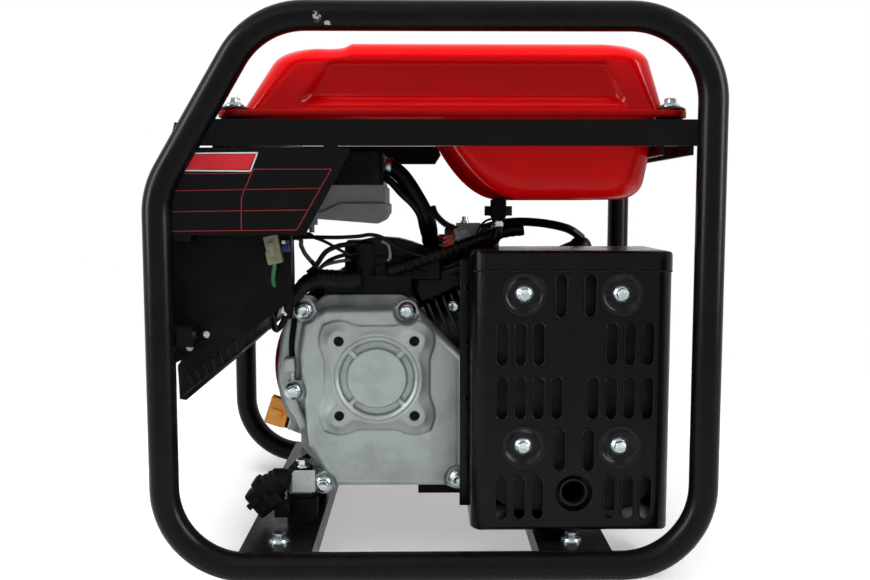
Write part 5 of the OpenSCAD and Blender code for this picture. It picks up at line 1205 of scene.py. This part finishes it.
# Beside the crankcase: two small bolts, a tag, a canister plate and a wire hook
extra = [
    hexHead((-0.1382, -0.1105, 0.2409), (0, -1, 0), 0.006, 0.004, 0.0085, 0.001, 10),
    hexHead((0.0197, -0.08, 0.2421), (0, -1, 0), 0.0085, 0.005, 0.013, 0.0014, 20)
]
addPiece("smallBolts", extra, zincPlate, sharp=28)
addPiece("wireTag", softBlock(
    (-0.1248, -0.115, 0.2613), (-0.1204, -0.1135, 0.2657), 0.0005, turnY(42)
), tagGrey)
plate = [(-0.049, 0.306), (-0.0425, 0.3012), (-0.0412, 0.29), (-0.044, 0.287)]
strip = through([(x, -0.096, z) for x, z in plate], 30)
addPiece("canisterPlate", skinned(tubeRings(strip, 0.0016, 10)), shadedCastAluminium)
addPiece("wireHook", tube([
    (-0.152, -0.119, 0.225), (-0.1516, -0.12, 0.23), (-0.15, -0.121, 0.2385), (-0.1478, -0.121, 0.237),
    (-0.1462, -0.12, 0.229), (-0.145, -0.119, 0.222)
], 0.0013, 40, 10), steelDark)


# Weld beads: rows of small overlapping lobes where tubes and rails meet
def weldBead(start, end, r, lobes):
    count = lobes * 6
    wave = np.abs(np.sin(np.linspace(0, np.pi * lobes, count)))
    return skinned(tubeRings(np.linspace(start, end, count), r * (0.82 + 0.22 * wave), 10))


beads = []
for side in (-1, 1):
    y = side * 0.1915
    beads.append(weldBead((-0.2195, y, 0.3905), (-0.2145, y, 0.408), 0.0022, 7))
    beads.append(weldBead((0.227, y, 0.39), (0.227, y, 0.409), 0.0022, 7))
addPiece("weldBeads", beads, frameBlack)
print("small details made")

# Label: a red band with a pale edge, and a ruled grid, laid just proud of the plate
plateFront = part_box("label_plate")[0][1]
inkT = 0.0002


# Flat strip between two points of the plate
def band(a, b, wide):
    a, b = np.array(a), np.array(b)
    d = (b - a) / np.linalg.norm(b - a)
    n = np.array([-d[1], d[0]]) * wide / 2
    return [tuple(a - n), tuple(b - n), tuple(b + n), tuple(a + n)]


# Thin prints from their corners on the plate, in X and Z, each with a front, a back and its sides
def inkedPiece(name, shapes, material, proud):
    points, faces, base = [], [], 0
    for corners in shapes:
        front = atY(np.array(corners), plateFront - proud)
        points += [front, front + [0, inkT, 0]]
        n = len(front)
        faces += [[base + v for v in range(n)], [base + v for v in range(2 * n - 1, n - 1, -1)]]
        faces += [[base + v for v in (j, n + j, n + (j + 1) % n, (j + 1) % n)] for j in range(n)]
        base += 2 * n
    mesh = bpy.data.meshes.new(name + "Mesh")
    mesh.from_pydata(np.vstack(points), [], faces)
    placeMesh(name, mesh, material)


banner = [(-0.2023, 0.3826), (-0.1478, 0.3831), (-0.1539, 0.3679), (-0.2095, 0.3684)]
middle = np.mean(banner, axis=0)
inner = [tuple(middle + (np.array(p) - middle) * [0.955, 0.86]) for p in banner]
inkedPiece("labelBanner", [inner], labelRed, 0.0003)
inkedPiece("labelBannerEdge", [
    band(banner[i], banner[(i + 1) % 4], 0.0012) for i in range(4)
], labelWhite, 0.0004)
outlineOf = [
    (-0.2106, 0.3658), (-0.2225, 0.3467), (-0.2232, 0.3178), (-0.116, 0.3188), (-0.0865, 0.3695),
    (-0.1515, 0.3695)
]
ruled = [outlineOf[i:i + 2] for i in range(5)]
ruled += [
    (outlineOf[5], (-0.162, 0.346)), ((-0.162, 0.346), (-0.1625, 0.3191)),
    ((-0.2106, 0.3658), (-0.153, 0.3662)), ((-0.2172, 0.3516), (-0.0961, 0.3537)),
    ((-0.2228, 0.3341), (-0.1068, 0.3356))
]
inkedPiece("labelGrid", [band(a, b, 0.0007) for a, b in ruled], labelLine, 0.0003)
print("label made")

# Crankcase side beside the cover: a rounded cast band that widens upwards, with its boss, stud and arm
turn = np.linspace(145, 205, 64)
outer = 0.0955 + np.where(turn < 180, 0.0075 * ((180 - turn) / 31) ** 2, -0.0025 * (turn - 180) / 23)
section = [
    (0.0, -0.086), (0.0, -0.0935), (0.0006, -0.0962), (0.0024, -0.0984), (0.0052, -0.0992),
    (0.008, -0.0985), (0.0105, -0.0998), (0.015, -0.1012), (0.0205, -0.1006), (0.0235, -0.0975),
    (0.024, -0.086)
]
way = np.radians(turn)
rings = np.stack([roundCrank(outer - step, way, y) for step, y in section], 1)
addPiece("caseSideBand", skinned(rings), castAluminium, sharp=50)
slot = through([
    (-0.1312, -0.1025, 0.233), (-0.133, -0.1028, 0.22), (-0.1342, -0.1028, 0.208), (-0.134, -0.102, 0.196)
], 30)
addPiece("caseSideSlot", skinned(tubeRings(slot, 0.0027, 14)), rubberBlack)
sideParts = [
    softBlock((-0.1408, -0.1125, 0.1828), (-0.13, -0.099, 0.197), 0.0026, turnY(-4)),
    tube([
        (-0.133, -0.108, 0.159), (-0.1312, -0.1085, 0.152), (-0.129, -0.108, 0.145),
        (-0.1255, -0.106, 0.137), (-0.1235, -0.104, 0.13)
    ], 0.0046, 40, 16)
]
addPiece("caseSideBoss", sideParts, castAluminium, sharp=45)
pitch = 0.00125
threads = [(h, 0.0027 + 0.00035 * math.cos(h * 2 * math.pi / pitch)) for h in np.linspace(0, 0.0135, 87)]
addPiece("caseSideStud", turned(threads, (-0.1326, -0.1075, 0.1705), (0, 0, 1), 24), zincPlate, sharp=80)

addPiece("mountPlate", softBlock((-0.1346, -0.113, 0.068), (-0.1124, -0.1108, 0.0892), 0.0009), platePale)

# Threaded holes of the output pad, black inside as painted shade
threads = [(h, 0.0038 + 0.0003 * math.cos(h * 2 * math.pi / pitch)) for h in np.linspace(0.0004, 0.009, 56)]
threads = [(0.0, 0.0043)] + threads + [(0.0092, 0.0005)]
padY, off = -0.1235, cover["hole"] / 1000
holes = [
    turned(threads, (crankAt[0] + x, padY, crankAt[2] + z), (0, 1, 0), 28) for x in (-off, off)
    for z in (-off, off)
]
addPiece("padHoleThreads", holes, holeShadeBlack, sharp=80)

# Guard's folded side strip with four small rivets
strip = [softBlock((0.0238, -0.129, 0.06), (0.0335, -0.1272, 0.29), 0.0008)]
strip += [
    turned([
        (0.0, 0.0019), (0.0006, 0.0018), (0.0011, 0.0012), (0.0013, 0.0004)
    ], (0.0292, -0.129, z), (0, -1, 0), 20)
    for z in (0.106, 0.161, 0.215, 0.264)
]
addPiece("guardSideStrip", strip, guardBlack, sharp=45)

# Guard's front: raised rims round its slots, in rows of (height, columns counted from the middle),
# and a rolled dish at each bolt
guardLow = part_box("muffler_guard")[0]
slots = {
    "middle": 0.12325, "pitch": 0.016, "r": 0.0053, "straight": 0.014, "rim": 0.0006,
    "rows": (
        (0.2105, (0.8,)), (0.168, (2, 3, 4)), (0.12, (1, 2, 3, 4)), (0.073, (0.8,)), (0.03, (2, 3, 4))
    )
}
a = roundAngles(44)
out = atY(np.stack([np.cos(a), np.sin(a)], -1), 0.0)
rims = []
for height, columns in slots["rows"]:
    for x in [slots["middle"] + side * k * slots["pitch"] for k in columns for side in (-1, 1)]:
        way = np.array([x, guardLow[1] - 0.0001, guardLow[2] + height]) + slots["r"] * out
        way[:, 2] += slots["straight"] * np.sign(np.sin(a))
        rims.append(skinned([
            way + slots["rim"] * (math.cos(b) * out - [0, math.sin(b), 0]) for b in roundAngles(8)
        ], along=True))
addPiece("slotRims", rims, guardGloss, sharp=70)
dish = [
    (-0.0036, 0.004), (-0.0036, 0.0112), (-0.0033, 0.0122), (-0.0014, 0.0145), (0.0, 0.0164),
    (0.0004, 0.0174), (0.0004, 0.0184), (0.0, 0.0194), (-0.0003, 0.0194), (-0.0006, 0.017),
    (-0.0043, 0.012), (-0.0043, 0.004)
]
dishes = [turned(dish, (x, guardLow[1], z), (0, -1, 0), 56) for x, z in guardBolts]
addPiece("guardDishes", dishes, guardGloss, sharp=60)
# Lid's lower lip: (X, Y behind the guard's front), at one height
lidLip = [
    (guardLow[0] + 0.0025, 0.02), (guardLow[0] + 0.0028, 0.005), (guardLow[0] + 0.006, 0.0002),
    (0.06, -0.0004), (0.12, -0.0004), (0.19, -0.0004), (0.207, 0.0002)
]
lidLip = [(x, guardLow[1] + y, guardLow[2] + 0.2318) for x, y in lidLip]
addPiece("guardLidLip", tube(lidLip, 0.0007, 60, 8), guardGloss)

# Outer fin of the heat sink: short ribs that stand square to its lower edge
sinkLow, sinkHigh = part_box("inverter_heatsink")
a = np.array([sinkLow[0] + 0.01, sinkLow[2] + 0.009])
b = np.array([sinkHigh[0] - 0.004, sinkHigh[2] - 0.018])
lean = turnY(-math.degrees(math.atan2(b[1] - a[1], b[0] - a[0])) + 20)
ribs = []
for t in np.linspace(0.06, 0.94, 7):
    x, z = a + (b - a) * t + np.array([-0.0015, 0.0065])
    ribs.append(softBlock(
        (x - 0.0017, sinkLow[1] - 0.0016, z - 0.0062), (x + 0.0017, sinkLow[1] + 0.001, z + 0.0062),
        0.0012, lean
    ))
edge = through(atY(np.array([a - 0.004, (a + b) / 2, b]), sinkLow[1] - 0.0006), 20)
ribs.append(skinned(tubeRings(edge, 0.0012, 10)))
addPiece("sinkEndRibs", ribs, anodBlack, sharp=50)
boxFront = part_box("control_box")[0][1]
screws = [
    hexHead((x, boxFront, z), (0, -1, 0), 0.0042, 0.0024, 0.006, 0.0007, turn)
    for x, z, turn in ((-0.2, 0.2265, 12), (-0.215, 0.2148, 40))
]
addPiece("boxSideScrews", screws, platePale, sharp=28)

# Recoil grip: a bar with finger hollows on a stem, and the rope that joins it to the starter
low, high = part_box("recoil_handle")
middle = (low + high) / 2
s = np.linspace(0, 1, 61)
ends = np.sqrt(np.clip(1 - np.abs(2 * s - 1) ** 5, 0.0, 1))
bar, a = [], roundAngles(32)
for t, e in zip(s, np.maximum(ends, 0.1)):
    hollow = 0.0018 * (0.5 - 0.5 * np.cos(8 * np.pi * t))
    deep = np.where(np.sin(a) > 0, 0.0113, 0.01 - hollow)
    y = high[1] - 0.0118 + e * deep * np.sin(a)
    x = low[0] + 0.0004 + (high[0] - low[0] - 0.0008) * t
    bar.append(np.stack([np.full(32, x), y, middle[2] + e * 0.0112 * np.cos(a)], -1))
stem = turned([
    (0.0, 0.0046), (0.0005, 0.006), (0.006, 0.0068), (0.012, 0.008), (0.018, 0.0104), (0.023, 0.0108)
], (middle[0], low[1] + 0.0004, middle[2]), (0, 1, 0), 36)
addPiece(
    "recoilGrip", [skinned(bar), stem], rubberBlack, body="recoil_handle", sharp=50,
    replaces=("recoil_handle",)
)
rope = [[middle[0], y, middle[2]] for y in np.linspace(low[1] - 0.018, low[1] + 0.01, 15)]
twist = 0.0021 + 0.00025 * np.cos(np.linspace(0, 22 * np.pi, 90))
starterRope = addPiece(
    "starterRope", skinned(tubeRings(through(rope, 90), twist, 14)), ropeWeave, body=None, sharp=70
)
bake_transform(starterRope)
print("side details made")

# Studio and camera
studio = {
    "floorTone": (0.9, 0.9, 0.9, 1.0), "glow": 0.42, "sky": 0.09, "key": 4.0, "side": 36.0, "top": 52.0
}


# Floor that looks white from the camera and keeps a soft shadow, fading into the white behind it
def makeFloor():
    mesh = bpy.data.meshes.new("floorMesh")
    s = 6.0
    mesh.from_pydata([(-s, -s, 0), (s, -s, 0), (s, s, 0), (-s, s, 0)], [], [(0, 1, 2, 3)])
    o = bpy.data.objects.new("studioFloor", mesh)
    bpy.context.scene.collection.objects.link(o)
    m, tree, skin, place = startMaterial("paleFloor")
    skin.inputs["Base Color"].default_value = studio["floorTone"]
    skin.inputs["Roughness"].default_value = 0.8
    skin.inputs["Specular IOR Level"].default_value = 0.0
    glow = addNode(tree, "ShaderNodeEmission", {"Color": (1, 1, 1, 1), "Strength": studio["glow"]})
    both = addNode(tree, "ShaderNodeAddShader")
    wire(tree, skin, "BSDF", both, 0)
    wire(tree, glow, "Emission", both, 1)
    white = addNode(tree, "ShaderNodeEmission", {"Color": (1, 1, 1, 1), "Strength": 1.0})
    far = addNode(tree, "ShaderNodeVectorMath", operation="LENGTH")
    wire(tree, place, "Object", far, 0)
    fade = rangeOf(tree, far, "Value", 0.55, 1.3, 0.0, 1.0)
    near = addNode(tree, "ShaderNodeMixShader")
    wire(tree, fade, "Result", near, "Fac")
    wire(tree, both, "Shader", near, 1)
    wire(tree, white, "Emission", near, 2)
    path = addNode(tree, "ShaderNodeLightPath")
    seen = addNode(tree, "ShaderNodeMath", operation="MAXIMUM")
    wire(tree, path, "Is Camera Ray", seen, 0)
    wire(tree, path, "Is Glossy Ray", seen, 1)
    pick = addNode(tree, "ShaderNodeMixShader")
    wire(tree, seen, "Value", pick, "Fac")
    wire(tree, skin, "BSDF", pick, 1)
    wire(tree, near, "Shader", pick, 2)
    wire(tree, pick, "Shader", tree.nodes["Material Output"], "Surface")
    mesh.materials.append(m)


def makeWorld():
    world = bpy.data.worlds.new("studioWorld")
    bpy.context.scene.world = world
    world.use_nodes = True
    tree = world.node_tree
    tree.nodes.clear()
    out = addNode(tree, "ShaderNodeOutputWorld")
    dim = addNode(tree, "ShaderNodeBackground", {"Color": (1, 1, 1, 1), "Strength": studio["sky"]})
    white = addNode(tree, "ShaderNodeBackground", {"Color": (1, 1, 1, 1), "Strength": 1.0})
    path = addNode(tree, "ShaderNodeLightPath")
    first = addNode(tree, "ShaderNodeMath", operation="MAXIMUM")
    wire(tree, path, "Is Camera Ray", first, 0)
    wire(tree, path, "Is Glossy Ray", first, 1)
    second = addNode(tree, "ShaderNodeMath", operation="MAXIMUM")
    wire(tree, first, "Value", second, 0)
    wire(tree, path, "Is Transmission Ray", second, 1)
    pick = addNode(tree, "ShaderNodeMixShader")
    wire(tree, second, "Value", pick, "Fac")
    wire(tree, dim, "Background", pick, 1)
    wire(tree, white, "Background", pick, 2)
    wire(tree, pick, "Shader", out, "Surface")


def softbox(name, at, towards, size, power):
    lamp = bpy.data.lights.new(name, "AREA")
    lamp.shape = "RECTANGLE"
    lamp.size, lamp.size_y = size
    lamp.energy = power
    o = bpy.data.objects.new(name, lamp)
    bpy.context.scene.collection.objects.link(o)
    o.location = at
    way = np.array(towards) - np.array(at)
    flat = math.hypot(way[0], way[1])
    o.rotation_euler = (math.atan2(flat, -way[2]), 0, math.atan2(-way[0], way[1]))
    return o


def makeCamera():
    camData = bpy.data.cameras.new("photoCamera")
    camData.sensor_width = 36.0
    camData.lens = 950.31 * 36.0 / 870.0
    camData.clip_start, camData.clip_end = 0.02, 30.0
    cam = bpy.data.objects.new("photoCamera", camData)
    bpy.context.scene.collection.objects.link(cam)
    cam.location = (-0.00962, -0.99423, 0.34166)
    cam.rotation_euler = (math.radians(84.751), 0, math.radians(-0.701))
    bpy.context.scene.camera = cam


makeCamera()
makeFloor()
makeWorld()
softbox("keyBox", (-0.7, -1.5, 1.6), (0, 0, 0.3), (1.2, 0.9), studio["key"])
# The tall side boxes only show as streaks in glossy surfaces
for side in (-1, 1):
    box = softbox("sideBox%d" % side, (side * 1.5, -0.75, 0.85), (0, -0.1, 0.4), (0.5, 1.4), studio["side"])
    box.visible_diffuse = False
topBox = softbox("topBox", (-0.1, -0.45, 1.9), (0, -0.05, 0.3), (1.7, 0.8), studio["top"])
topBox.visible_glossy = False
bpy.context.scene.view_settings.view_transform = "Standard"
print("studio ready")
